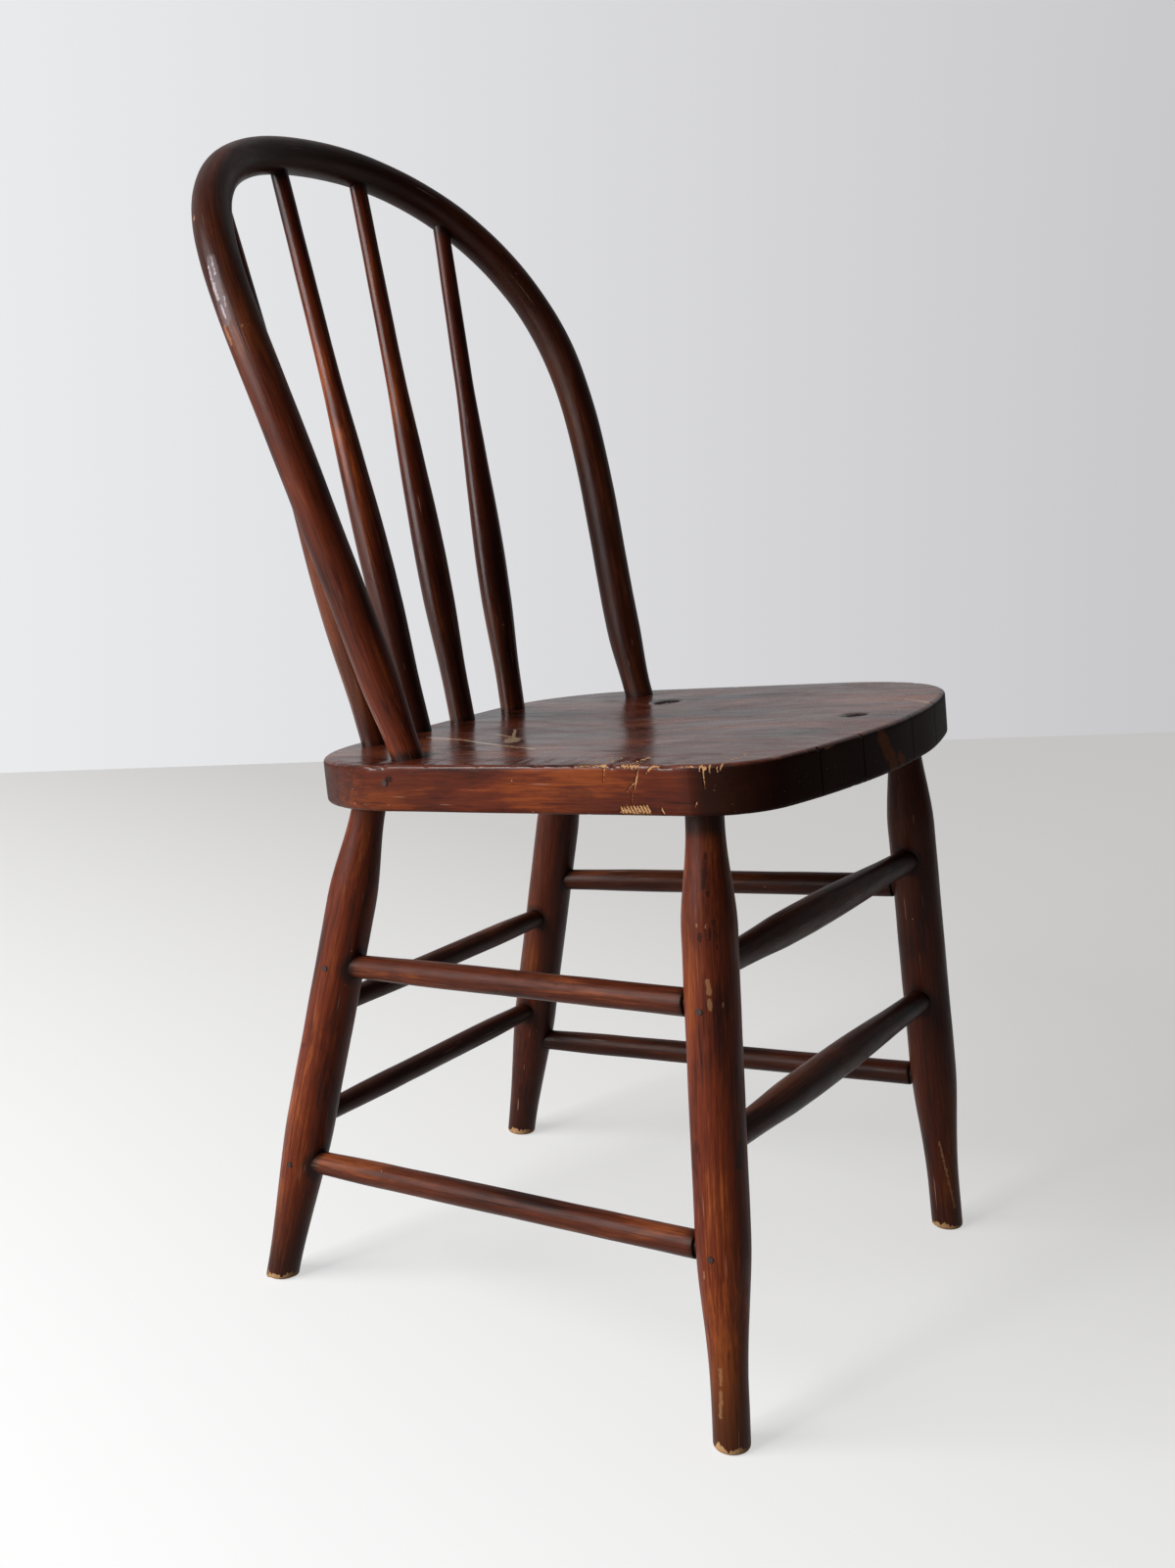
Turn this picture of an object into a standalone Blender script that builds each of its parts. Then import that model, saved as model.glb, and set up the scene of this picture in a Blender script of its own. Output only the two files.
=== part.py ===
# Farmhouse chair: a bent hoop and four turned spindles stand in a plank seat,
# on four splayed turned legs that eight stretchers tie together.
# Metres, +Z up. The chair faces -Y, its right side (as one sits in it) is -X,
# and the origin is on the floor under the middle of the chair.

import math

import bmesh
import bpy
from mathutils import Vector

# Fits. Meshes of neighbours keep this gap all round; sockets are a little
# deeper than the tenons in them.
FIT = 0.0003
SOCKET_BOTTOM_GAP = 0.001
CUT_OVERRUN = 0.012

# Plank seat: its top passes SEAT_HEIGHT over the origin and falls towards the
# back. Lengths below run along the board, from the point over the origin.
# The outline was cut by hand: the front edge bows out most right of the
# middle, and no two corners are alike.
SEAT_HEIGHT = 0.4228
SEAT_TILT = math.radians(6.8)
SEAT_THICKNESS = 0.032
SEAT_FRONT = 0.268
SEAT_BACK = 0.147
SEAT_FRONT_HALF_WIDTH = 0.202
SEAT_BACK_HALF_WIDTH = 0.186
SEAT_FRONT_CROWN = 0.041
SEAT_FRONT_CROWN_X = -0.042
SEAT_BACK_CROWN = 0.002
SEAT_FRONT_RIGHT_CORNER = 0.038
SEAT_FRONT_LEFT_CORNER = 0.084
SEAT_BACK_RIGHT_CORNER = 0.100
SEAT_BACK_LEFT_CORNER = 0.086
SEAT_EDGE_ROUND = 0.003
DISH_HALF_WIDTH = 0.145
DISH_HALF_LENGTH = 0.150
DISH_MIDDLE_Y = -0.050
DISH_DEPTH = 0.005
DISH_BALL_HEIGHT = 0.060

# Turned legs. A leg's axis runs from its foot on the floor to a point on the
# seat's top plane; only a blind tenon of the neck's radius enters the seat.
FRONT_FOOT_X = 0.190
FRONT_FOOT_Y = -0.2365
FRONT_TOP_X = 0.1575
FRONT_TOP_Y = -0.1885
BACK_FOOT_X = 0.1645
BACK_FOOT_Y = 0.1665
BACK_TOP_X = 0.129
BACK_TOP_Y = 0.089
LEG_FOOT_RADIUS = 0.0123
LEG_SWELL_RADIUS = 0.018
LEG_NECK_RADIUS = 0.0124
LEG_TENON = 0.022
LEG_NECK_LENGTH = 0.010
LEG_NECK_TO_SWELL = 0.080
FRONT_FOOT_STRAIGHT = 0.035
FRONT_FOOT_TO_SWELL = 0.145
BACK_FOOT_STRAIGHT = 0.005
BACK_FOOT_TO_SWELL = 0.130
FOOT_TRIM = 0.008
FLOOR_BLOCK_DEPTH = 0.030

# Stretchers: heights are those of the crossing of the two axes in the leg.
SIDE_UPPER_FRONT_Z = 0.2875
SIDE_UPPER_BACK_Z = 0.2510
SIDE_LOWER_FRONT_Z = 0.1295
SIDE_LOWER_BACK_Z = 0.0955
FRONT_UPPER_Z = 0.3105
FRONT_LOWER_Z = 0.1965
BACK_UPPER_Z = 0.2185
BACK_LOWER_Z = 0.1280
SIDE_STRETCHER_RADIUS = 0.0093
SIDE_STRETCHER_END_RADIUS = 0.0086
SIDE_TENON_RADIUS = 0.0072
FRONT_STRETCHER_RADIUS = 0.0122
FRONT_STRETCHER_END_RADIUS = 0.0094
BACK_STRETCHER_RADIUS = 0.0086
BACK_STRETCHER_END_RADIUS = 0.0078
STRETCHER_END_TAPER = 0.060
FRONT_STRETCHER_RIGHT_TAPER = 0.105
FRONT_STRETCHER_LEFT_TAPER = 0.165
STRETCHER_PAST_AXIS = 0.002
SHOULDER_CHAMFER = 0.001

# Hoop, half of it: a side that leans back from the seat to the widest point,
# then the arch to the top. Handles are the lengths of the Bezier handles.
HOOP_RADIUS = 0.0138
HOOP_FOOT_RADIUS = 0.0112
HOOP_FOOT_X = 0.158
HOOP_FOOT_Y = 0.041
HOOP_FOOT_SPLAY = math.radians(4.0)
HOOP_FOOT_RAKE = math.radians(21.5)
HOOP_FOOT_HANDLE = 0.095
HOOP_WIDEST_X = 0.1914
HOOP_WIDEST_Y = 0.138
HOOP_WIDEST_Z = 0.687
HOOP_WIDEST_RAKE = math.radians(26.4)
HOOP_WIDEST_LOWER_HANDLE = 0.086
HOOP_WIDEST_UPPER_HANDLE = 0.098
HOOP_TOP_Y = 0.2528
HOOP_TOP_Z = 0.8408
HOOP_TOP_HANDLE = 0.1395
HOOP_TENON = 0.024
HOOP_FOOT_STRAIGHT = 0.005
HOOP_FOOT_TAPER = 0.055

# Spindles: each stands in the seat and ends in a socket in the hoop. The tops
# are not evenly spaced.
OUTER_SPINDLE_X = 0.091
OUTER_SPINDLE_Y = 0.123
INNER_SPINDLE_X = 0.029
INNER_SPINDLE_Y = 0.1295
SPINDLE_TOP_OUTER_RIGHT_X = 0.136
SPINDLE_TOP_INNER_RIGHT_X = 0.0365
SPINDLE_TOP_INNER_LEFT_X = 0.0555
SPINDLE_TOP_OUTER_LEFT_X = 0.132
SPINDLE_FOOT_RADIUS = 0.0100
SPINDLE_SWELL_RADIUS = 0.0124
SPINDLE_SLIM_RADIUS = 0.0074
SPINDLE_TOP_RADIUS = 0.0065
SPINDLE_TENON = 0.020
SPINDLE_PAST_HOOP_LINE = 0.003
# Where the swell starts, is reached, is left and has run out, as shares of
# the spindle's length between the seat and the hoop.
SPINDLE_SWELL_STARTS = 0.06
SPINDLE_SWELL_FULL = 0.23
SPINDLE_SWELL_LEFT = 0.28
SPINDLE_SWELL_GONE = 0.70

# Brads, driven through the legs into the side stretchers and through the
# seat's edge into the hoop's feet.
BRAD_RADIUS = 0.0018
BRAD_RECESS = 0.0003
LEG_BRAD_OFF_AXIS = 0.005
LEG_BRAD_TIP = 0.0045
SEAT_BRAD_DEPTH = 0.012
SEAT_BRAD_BITE = 0.005

# Facets.
LEG_SIDES = 20
ROD_SIDES = 16
BRAD_SIDES = 8
HOOP_BEVEL_RESOLUTION = 6
HOOP_SIDE_STEPS = 14
HOOP_ARCH_STEPS = 18
CORNER_STEPS = 7
EDGE_STEPS = 5
BLEND_STEPS = 7
DISH_SEGMENTS = 40
DISH_RINGS = 60
HALVINGS = 40

RIGHT = -1
LEFT = 1
SIDE_NAMES = {RIGHT: "right", LEFT: "left"}
ROUND_CORNER = 0.55
SHARP_ANGLE = math.radians(40)
SCREW_MERGE = 0.00005
CAP_MERGE = 0.00001

# Stain and wear differ from piece to piece: linear colour and roughness.
SEAT_STAIN = ((0.075, 0.030, 0.020), 0.34)
HOOP_STAIN = ((0.060, 0.022, 0.014), 0.36)
SPINDLE_STAIN = ((0.085, 0.027, 0.012), 0.38)
LEG_STAIN = ((0.110, 0.036, 0.014), 0.38)
STRETCHER_STAIN = ((0.080, 0.025, 0.012), 0.40)
BRAD_IRON = ((0.020, 0.016, 0.014), 0.55)


def ease(t):
    t = min(max(t, 0.0), 1.0)
    return t * t * (3.0 - 2.0 * t)


def mix(a, b, t):
    return a + (b - a) * t


def bezier(a, b, c, d, t):
    u = 1.0 - t
    return a * u ** 3 + b * (3.0 * u * u * t) + c * (3.0 * u * t * t) + d * t ** 3


def on_seat(x, y):
    """The point of the seat's top plane at x, y."""
    return Vector((x, y, SEAT_HEIGHT - y * math.tan(SEAT_TILT)))


def seat_normal():
    return Vector((0.0, math.sin(SEAT_TILT), math.cos(SEAT_TILT)))


def clear_scene():
    for old in list(bpy.data.objects):
        bpy.data.objects.remove(old, do_unlink=True)


def new_collection(name):
    collection = bpy.data.collections.new(name)
    bpy.context.scene.collection.children.link(collection)
    return collection


def move_to(obj, collection):
    for old in list(obj.users_collection):
        old.objects.unlink(obj)
    collection.objects.link(obj)


def finish_material(obj, stain, metallic=0.0):
    """Each piece has its own material: its colour, roughness and metallic."""
    colour, roughness = stain
    material = bpy.data.materials.new(obj.name)
    material.use_nodes = True
    shader = material.node_tree.nodes["Principled BSDF"]
    shader.inputs["Base Color"].default_value = (*colour, 1.0)
    shader.inputs["Roughness"].default_value = roughness
    shader.inputs["Metallic"].default_value = metallic
    obj.data.materials.clear()
    obj.data.materials.append(material)


def mesh_of(obj, name):
    """A mesh object with the evaluated shape of obj, which it takes over from."""
    bpy.context.view_layer.update()
    evaluated = obj.evaluated_get(bpy.context.evaluated_depsgraph_get())
    mesh = bpy.data.meshes.new_from_object(evaluated)
    welded = bmesh.new()
    welded.from_mesh(mesh)
    bmesh.ops.remove_doubles(welded, verts=welded.verts, dist=CAP_MERGE)
    welded.to_mesh(mesh)
    welded.free()
    mesh.name = name
    mesh.shade_smooth()
    mesh.set_sharp_from_angle(angle=SHARP_ANGLE)
    solid = bpy.data.objects.new(name, mesh)
    solid.matrix_world = obj.matrix_world
    bpy.data.objects.remove(obj, do_unlink=True)
    parts.objects.link(solid)
    return solid


def aim(obj, base, direction):
    """Puts the piece's foot at base and its own Z axis along direction."""
    obj.location = base
    obj.rotation_mode = "QUATERNION"
    obj.rotation_quaternion = direction.to_track_quat("Z", "Y")


def turned(name, stations, sides, base, direction):
    """A turned piece from (height, radius) stations, listed upwards."""
    outline = [Vector((0.0, 0.0, stations[-1][0]))]
    outline += [Vector((radius, 0.0, height)) for height, radius in reversed(stations)]
    outline.append(Vector((0.0, 0.0, stations[0][0])))
    mesh = bpy.data.meshes.new(name + "_profile")
    mesh.from_pydata(outline, [(i, i + 1) for i in range(len(outline) - 1)], [])
    profile = bpy.data.objects.new(name + "_profile", mesh)
    bpy.context.scene.collection.objects.link(profile)
    screw = profile.modifiers.new("Turn", "SCREW")
    screw.axis = "Z"
    screw.steps = sides
    screw.render_steps = sides
    screw.use_merge_vertices = True
    screw.merge_threshold = SCREW_MERGE
    aim(profile, base, direction)
    return mesh_of(profile, name)


def socket_cutter(name, base, direction, start, end, radius, sides):
    """A cylinder whose flats clear a tenon of this radius by the fit."""
    bpy.ops.mesh.primitive_cylinder_add(
        vertices=sides,
        radius=(radius + FIT) / math.cos(math.pi / sides),
        depth=end - start,
    )
    cutter = bpy.context.active_object
    cutter.name = "cut_" + name
    cutter.hide_render = True
    cutter.display_type = "WIRE"
    aim(cutter, base + direction * (start + end) / 2.0, direction)
    move_to(cutter, cutters)
    return cutter


def cut(target, cutter):
    boolean = target.modifiers.new(cutter.name, "BOOLEAN")
    boolean.operation = "DIFFERENCE"
    boolean.solver = "EXACT"
    boolean.object = cutter


class Leg:
    """A leg's axis, from its foot on the floor to the seat's top plane."""

    def __init__(self, end, side):
        front = end == "front"
        self.name = f"leg_{end}_{SIDE_NAMES[side]}"
        self.side = side
        foot_x = FRONT_FOOT_X if front else BACK_FOOT_X
        foot_y = FRONT_FOOT_Y if front else BACK_FOOT_Y
        top_x = FRONT_TOP_X if front else BACK_TOP_X
        top_y = FRONT_TOP_Y if front else BACK_TOP_Y
        self.straight = FRONT_FOOT_STRAIGHT if front else BACK_FOOT_STRAIGHT
        self.to_swell = FRONT_FOOT_TO_SWELL if front else BACK_FOOT_TO_SWELL
        self.foot = Vector((side * foot_x, foot_y, 0.0))
        top = on_seat(side * top_x, top_y)
        self.direction = (top - self.foot).normalized()
        self.to_seat_top = (top - self.foot).length
        lean = self.direction.dot(seat_normal())
        self.to_underside = self.to_seat_top - SEAT_THICKNESS / lean

    def at_height(self, z):
        return self.foot + self.direction * (z / self.direction.z)

    def radius(self, along):
        rise = ease((along - self.straight) / (self.to_swell - self.straight))
        lower = mix(LEG_FOOT_RADIUS, LEG_SWELL_RADIUS, rise)
        below_seat = self.to_underside - along
        fall = ease((LEG_NECK_TO_SWELL - below_seat) / (LEG_NECK_TO_SWELL - LEG_NECK_LENGTH))
        return min(lower, mix(LEG_SWELL_RADIUS, LEG_NECK_RADIUS, fall))

    def stations(self):
        swell_ends = self.to_underside - LEG_NECK_TO_SWELL
        neck_starts = self.to_underside - LEG_NECK_LENGTH
        heights = [-FOOT_TRIM]
        heights += [mix(self.straight, self.to_swell, i / BLEND_STEPS) for i in range(BLEND_STEPS + 1)]
        heights += [mix(swell_ends, neck_starts, i / BLEND_STEPS) for i in range(BLEND_STEPS + 1)]
        heights.append(self.to_underside + LEG_TENON)
        return [(height, self.radius(height)) for height in heights]


def seat_side_x(y):
    """Half the seat's width at y along the board."""
    share = (SEAT_BACK - y) / (SEAT_BACK + SEAT_FRONT)
    return mix(SEAT_BACK_HALF_WIDTH, SEAT_FRONT_HALF_WIDTH, share)


def round_corner(start, start_direction, end, end_direction):
    """Points of a rounded corner between two edges, without its ends."""
    size = (end - start).length / math.sqrt(2.0)
    first = start + start_direction.normalized() * size * ROUND_CORNER
    last = end - end_direction.normalized() * size * ROUND_CORNER
    steps = range(1, CORNER_STEPS)
    return [bezier(start, first, last, end, i / CORNER_STEPS) for i in steps]


def seat_front_y(x):
    return -SEAT_FRONT + SEAT_FRONT_CROWN * ((x - SEAT_FRONT_CROWN_X) / SEAT_FRONT_HALF_WIDTH) ** 2


def seat_back_y(x):
    return SEAT_BACK - SEAT_BACK_CROWN * (x / SEAT_BACK_HALF_WIDTH) ** 2


def crowned_edge(edge_y, middle_x, end_x):
    """Points along an end edge, from its crown to where its corner starts."""
    points = []
    for i in range(EDGE_STEPS + 1):
        x = mix(middle_x, end_x, i / EDGE_STEPS)
        points.append(Vector((x, edge_y(x), 0.0)))
    return points


def half_outline(side):
    """One side of the seat's outline, from the front's crown to the back's."""
    front_corner = SEAT_FRONT_RIGHT_CORNER if side == RIGHT else SEAT_FRONT_LEFT_CORNER
    back_corner = SEAT_BACK_RIGHT_CORNER if side == RIGHT else SEAT_BACK_LEFT_CORNER
    front = crowned_edge(seat_front_y, SEAT_FRONT_CROWN_X,
                         side * (SEAT_FRONT_HALF_WIDTH - front_corner))
    back = crowned_edge(seat_back_y, 0.0, side * (SEAT_BACK_HALF_WIDTH - back_corner))
    side_front_y = seat_front_y(side * SEAT_FRONT_HALF_WIDTH) + front_corner
    side_back_y = seat_back_y(side * SEAT_BACK_HALF_WIDTH) - back_corner
    side_front = Vector((side * seat_side_x(side_front_y), side_front_y, 0.0))
    side_back = Vector((side * seat_side_x(side_back_y), side_back_y, 0.0))
    flank = side_back - side_front
    points = list(front)
    points += round_corner(front[-1], front[-1] - front[-2], side_front, flank)
    points += [side_front, side_back]
    points += round_corner(side_back, flank, back[-1], back[-2] - back[-1])
    points += reversed(back)
    return points


def seat_outline():
    """The seat's outline, counter-clockwise seen from above."""
    left = half_outline(LEFT)
    right = half_outline(RIGHT)
    return left + right[-2:0:-1]


def make_seat():
    outline = seat_outline()
    curve = bpy.data.curves.new("seat", "CURVE")
    curve.dimensions = "2D"
    curve.fill_mode = "BOTH"
    curve.extrude = SEAT_THICKNESS / 2.0 - SEAT_EDGE_ROUND
    curve.bevel_depth = SEAT_EDGE_ROUND
    curve.bevel_resolution = 1
    curve.offset = -SEAT_EDGE_ROUND
    spline = curve.splines.new("POLY")
    spline.points.add(len(outline) - 1)
    for point, place in zip(spline.points, outline):
        point.co = (*place, 1.0)
    spline.use_cyclic_u = True
    board = bpy.data.objects.new("seat_board", curve)
    bpy.context.scene.collection.objects.link(board)
    board.location = on_seat(0.0, 0.0) - seat_normal() * SEAT_THICKNESS / 2.0
    board.rotation_euler.x = -SEAT_TILT
    seat = mesh_of(board, "seat")
    finish_material(seat, SEAT_STAIN)
    cut(seat, dish_cutter())
    return seat


def dish_cutter():
    """A flattened ball that sinks DISH_DEPTH into the seat's top."""
    shrink = math.sqrt(1.0 - ((DISH_BALL_HEIGHT - DISH_DEPTH) / DISH_BALL_HEIGHT) ** 2)
    bpy.ops.mesh.primitive_uv_sphere_add(segments=DISH_SEGMENTS, ring_count=DISH_RINGS, radius=1.0)
    ball = bpy.context.active_object
    ball.name = "cut_seat_dish"
    ball.scale = (DISH_HALF_WIDTH / shrink, DISH_HALF_LENGTH / shrink, DISH_BALL_HEIGHT)
    ball.location = on_seat(0.0, DISH_MIDDLE_Y) + seat_normal() * (DISH_BALL_HEIGHT - DISH_DEPTH)
    ball.rotation_euler.x = -SEAT_TILT
    ball.hide_render = True
    ball.display_type = "WIRE"
    move_to(ball, cutters)
    return ball


def floor_cutter():
    """A block under the floor that levels the legs' feet."""
    reach = 2.0 * (FRONT_FOOT_X - FRONT_FOOT_Y)
    bpy.ops.mesh.primitive_cube_add(size=1.0, location=(0.0, 0.0, -FLOOR_BLOCK_DEPTH / 2.0))
    block = bpy.context.active_object
    block.name = "cut_floor"
    block.scale = (reach, reach, FLOOR_BLOCK_DEPTH)
    block.hide_render = True
    block.display_type = "WIRE"
    move_to(block, cutters)
    return block


def make_legs(seat):
    floor = floor_cutter()
    legs = {}
    for end in ("front", "back"):
        for side in (RIGHT, LEFT):
            leg = Leg(end, side)
            leg.solid = turned(leg.name, leg.stations(), LEG_SIDES, leg.foot, leg.direction)
            finish_material(leg.solid, LEG_STAIN)
            cut(leg.solid, floor)
            inside = leg.to_underside + LEG_TENON + SOCKET_BOTTOM_GAP
            cut(seat, socket_cutter(leg.name, leg.foot, leg.direction, leg.to_underside - CUT_OVERRUN,
                                    inside, LEG_NECK_RADIUS, LEG_SIDES))
            legs[end, side] = leg
    return legs


def make_stretcher(name, first, second, heights, radii, tapers, shoulder=False):
    """A stretcher between two legs. Its ends go into the legs at their full
    radius; with a shoulder, the first end has a thinner tenon."""
    start = first.at_height(heights[0])
    finish = second.at_height(heights[1])
    direction = (finish - start).normalized()
    length = (finish - start).length
    end_radius, middle_radius = radii
    first_taper, last_taper = tapers
    body_start = LEG_SWELL_RADIUS
    body_end = length - LEG_SWELL_RADIUS
    stations = []
    if shoulder:
        face = body_start + FIT
        face_radius = middle_radius - SHOULDER_CHAMFER
        stations += [(-STRETCHER_PAST_AXIS, SIDE_TENON_RADIUS), (face, SIDE_TENON_RADIUS)]
        stations += [(face, face_radius), (face + SHOULDER_CHAMFER, middle_radius)]
        stations.append((length / 2.0, middle_radius))
    else:
        stations.append((-STRETCHER_PAST_AXIS, end_radius))
        for i in range(BLEND_STEPS + 1):
            share = i / BLEND_STEPS
            stations.append((body_start + first_taper * share, mix(end_radius, middle_radius, ease(share))))
    for i in range(BLEND_STEPS, -1, -1):
        share = i / BLEND_STEPS
        stations.append((body_end - last_taper * share, mix(end_radius, middle_radius, ease(share))))
    stations.append((length + STRETCHER_PAST_AXIS, end_radius))
    stretcher = turned(name, stations, ROD_SIDES, start, direction)
    finish_material(stretcher, STRETCHER_STAIN)
    reach = STRETCHER_PAST_AXIS + SOCKET_BOTTOM_GAP
    outside = LEG_SWELL_RADIUS + CUT_OVERRUN
    first_radius = SIDE_TENON_RADIUS if shoulder else end_radius
    cut(first.solid, socket_cutter(name + "_a", start, direction, -reach, outside, first_radius, ROD_SIDES))
    cut(second.solid, socket_cutter(name + "_b", finish, -direction, -reach, outside, end_radius, ROD_SIDES))
    return stretcher, start, finish, direction


def make_stretchers(legs):
    """All eight; returns each brad's base and direction in the side joints."""
    side_radii = (SIDE_STRETCHER_END_RADIUS, SIDE_STRETCHER_RADIUS)
    front_radii = (FRONT_STRETCHER_END_RADIUS, FRONT_STRETCHER_RADIUS)
    back_radii = (BACK_STRETCHER_END_RADIUS, BACK_STRETCHER_RADIUS)
    side_heights = {"upper": (SIDE_UPPER_FRONT_Z, SIDE_UPPER_BACK_Z),
                    "lower": (SIDE_LOWER_FRONT_Z, SIDE_LOWER_BACK_Z)}
    end_heights = {"front": {"upper": FRONT_UPPER_Z, "lower": FRONT_LOWER_Z},
                   "back": {"upper": BACK_UPPER_Z, "lower": BACK_LOWER_Z}}
    front_tapers = (FRONT_STRETCHER_RIGHT_TAPER, FRONT_STRETCHER_LEFT_TAPER)
    plain_tapers = (STRETCHER_END_TAPER, STRETCHER_END_TAPER)
    for end, radii, tapers in (("front", front_radii, front_tapers),
                               ("back", back_radii, plain_tapers)):
        for level, height in end_heights[end].items():
            make_stretcher(f"{end}_stretcher_{level}", legs[end, RIGHT], legs[end, LEFT],
                           (height, height), radii, tapers)
    brads = []
    for side in (RIGHT, LEFT):
        for level, heights in side_heights.items():
            name = f"side_stretcher_{level}_{SIDE_NAMES[side]}"
            front, back = legs["front", side], legs["back", side]
            solid, start, finish, direction = make_stretcher(name, front, back, heights, side_radii,
                                                             plain_tapers, shoulder=True)
            for leg, joint, inwards in ((front, start, direction), (back, finish, -direction)):
                brads.append(leg_brad(f"brad_{leg.name}_{level}", leg, solid, joint, inwards))
    return brads


def leg_brad(name, leg, stretcher, joint, inwards):
    """A brad driven from the outer side of the leg into the stretcher's end."""
    outwards = Vector((leg.side, 0.0, 0.0))
    outwards = (outwards - inwards * outwards.dot(inwards)).normalized()
    base = joint + inwards * LEG_BRAD_OFF_AXIS
    surface = math.sqrt(LEG_SWELL_RADIUS ** 2 - LEG_BRAD_OFF_AXIS ** 2)
    hole = socket_cutter(name, base, outwards, LEG_BRAD_TIP - SOCKET_BOTTOM_GAP,
                         surface + CUT_OVERRUN, BRAD_RADIUS, BRAD_SIDES)
    cut(leg.solid, hole)
    cut(stretcher, hole)
    return name, base, outwards, LEG_BRAD_TIP, surface - BRAD_RECESS


def hoop_half():
    """The hoop's centre line on the left, from the seat to the top, as the
    handles of its two Bezier stretches."""
    foot = on_seat(HOOP_FOOT_X, HOOP_FOOT_Y)
    rise = Vector((math.tan(HOOP_FOOT_SPLAY), math.tan(HOOP_FOOT_RAKE), 1.0)).normalized()
    widest = Vector((HOOP_WIDEST_X, HOOP_WIDEST_Y, HOOP_WIDEST_Z))
    lean = Vector((0.0, math.sin(HOOP_WIDEST_RAKE), math.cos(HOOP_WIDEST_RAKE)))
    top = Vector((0.0, HOOP_TOP_Y, HOOP_TOP_Z))
    across = Vector((HOOP_TOP_HANDLE, 0.0, 0.0))
    side = (foot, foot + rise * HOOP_FOOT_HANDLE, widest - lean * HOOP_WIDEST_LOWER_HANDLE, widest)
    arch = (widest, widest + lean * HOOP_WIDEST_UPPER_HANDLE, top + across, top)
    return side, arch


def hoop_point_at_x(x):
    """The point of the arch's centre line at this x, by halving."""
    arch = hoop_half()[1]
    low, high = 0.0, 1.0
    for _ in range(HALVINGS):
        middle = (low + high) / 2.0
        if bezier(*arch, middle).x > abs(x):
            low = middle
        else:
            high = middle
    point = bezier(*arch, low)
    point.x = x
    return point


def mirrored(points):
    return [Vector((-p.x, p.y, p.z)) for p in points]


def hoop_foot_direction(side):
    rise = Vector((side * math.tan(HOOP_FOOT_SPLAY), math.tan(HOOP_FOOT_RAKE), 1.0))
    return rise.normalized()


def make_hoop(seat):
    side, arch = hoop_half()
    points = [side[0] - hoop_foot_direction(LEFT) * HOOP_TENON]
    points.append(side[0])
    points.append(side[0] + hoop_foot_direction(LEFT) * HOOP_FOOT_STRAIGHT)
    points += [bezier(*side, i / HOOP_SIDE_STEPS) for i in range(1, HOOP_SIDE_STEPS)]
    points += [bezier(*arch, i / HOOP_ARCH_STEPS) for i in range(HOOP_ARCH_STEPS)]
    line = points + [arch[3]] + mirrored(reversed(points))
    curve = bpy.data.curves.new("hoop", "CURVE")
    curve.dimensions = "3D"
    curve.bevel_depth = HOOP_RADIUS
    curve.bevel_resolution = HOOP_BEVEL_RESOLUTION
    curve.use_fill_caps = True
    spline = curve.splines.new("POLY")
    spline.points.add(len(line) - 1)
    for point, place in zip(spline.points, line):
        point.co = (*place, 1.0)
        above_seat = (place - on_seat(place.x, place.y)).dot(seat_normal())
        share = ease((above_seat - HOOP_FOOT_STRAIGHT) / HOOP_FOOT_TAPER)
        point.radius = mix(HOOP_FOOT_RADIUS, HOOP_RADIUS, share) / HOOP_RADIUS
    rod = bpy.data.objects.new("hoop_rod", curve)
    bpy.context.scene.collection.objects.link(rod)
    hoop = mesh_of(rod, "hoop")
    finish_material(hoop, HOOP_STAIN)
    for hand in (RIGHT, LEFT):
        foot = on_seat(hand * HOOP_FOOT_X, HOOP_FOOT_Y)
        bottom = -HOOP_TENON - SOCKET_BOTTOM_GAP
        cut(seat, socket_cutter("hoop_" + SIDE_NAMES[hand], foot, hoop_foot_direction(hand), bottom,
                                CUT_OVERRUN, HOOP_FOOT_RADIUS, LEG_SIDES))
    return hoop


def spindle_radius(share):
    """Radius at a share of the way from the seat to the hoop."""
    rise = (share - SPINDLE_SWELL_STARTS) / (SPINDLE_SWELL_FULL - SPINDLE_SWELL_STARTS)
    fall = (share - SPINDLE_SWELL_LEFT) / (SPINDLE_SWELL_GONE - SPINDLE_SWELL_LEFT)
    slim = mix(SPINDLE_SLIM_RADIUS, SPINDLE_TOP_RADIUS,
               (share - SPINDLE_SWELL_GONE) / (1.0 - SPINDLE_SWELL_GONE))
    if share < SPINDLE_SWELL_LEFT:
        return mix(SPINDLE_FOOT_RADIUS, SPINDLE_SWELL_RADIUS, ease(rise))
    if share < SPINDLE_SWELL_GONE:
        return mix(SPINDLE_SWELL_RADIUS, SPINDLE_SLIM_RADIUS, ease(fall))
    return slim


def spindle_stations(length):
    shares = [mix(SPINDLE_SWELL_STARTS, SPINDLE_SWELL_FULL, i / BLEND_STEPS)
              for i in range(BLEND_STEPS + 1)]
    shares += [mix(SPINDLE_SWELL_LEFT, SPINDLE_SWELL_GONE, i / BLEND_STEPS)
               for i in range(BLEND_STEPS + 1)]
    neck = 1.0 - 2.0 * HOOP_RADIUS / length
    stations = [(-SPINDLE_TENON, SPINDLE_FOOT_RADIUS)]
    stations += [(share * length, spindle_radius(share)) for share in shares]
    stations.append((neck * length, SPINDLE_TOP_RADIUS))
    stations.append((length + SPINDLE_PAST_HOOP_LINE, SPINDLE_TOP_RADIUS))
    return stations


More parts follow.
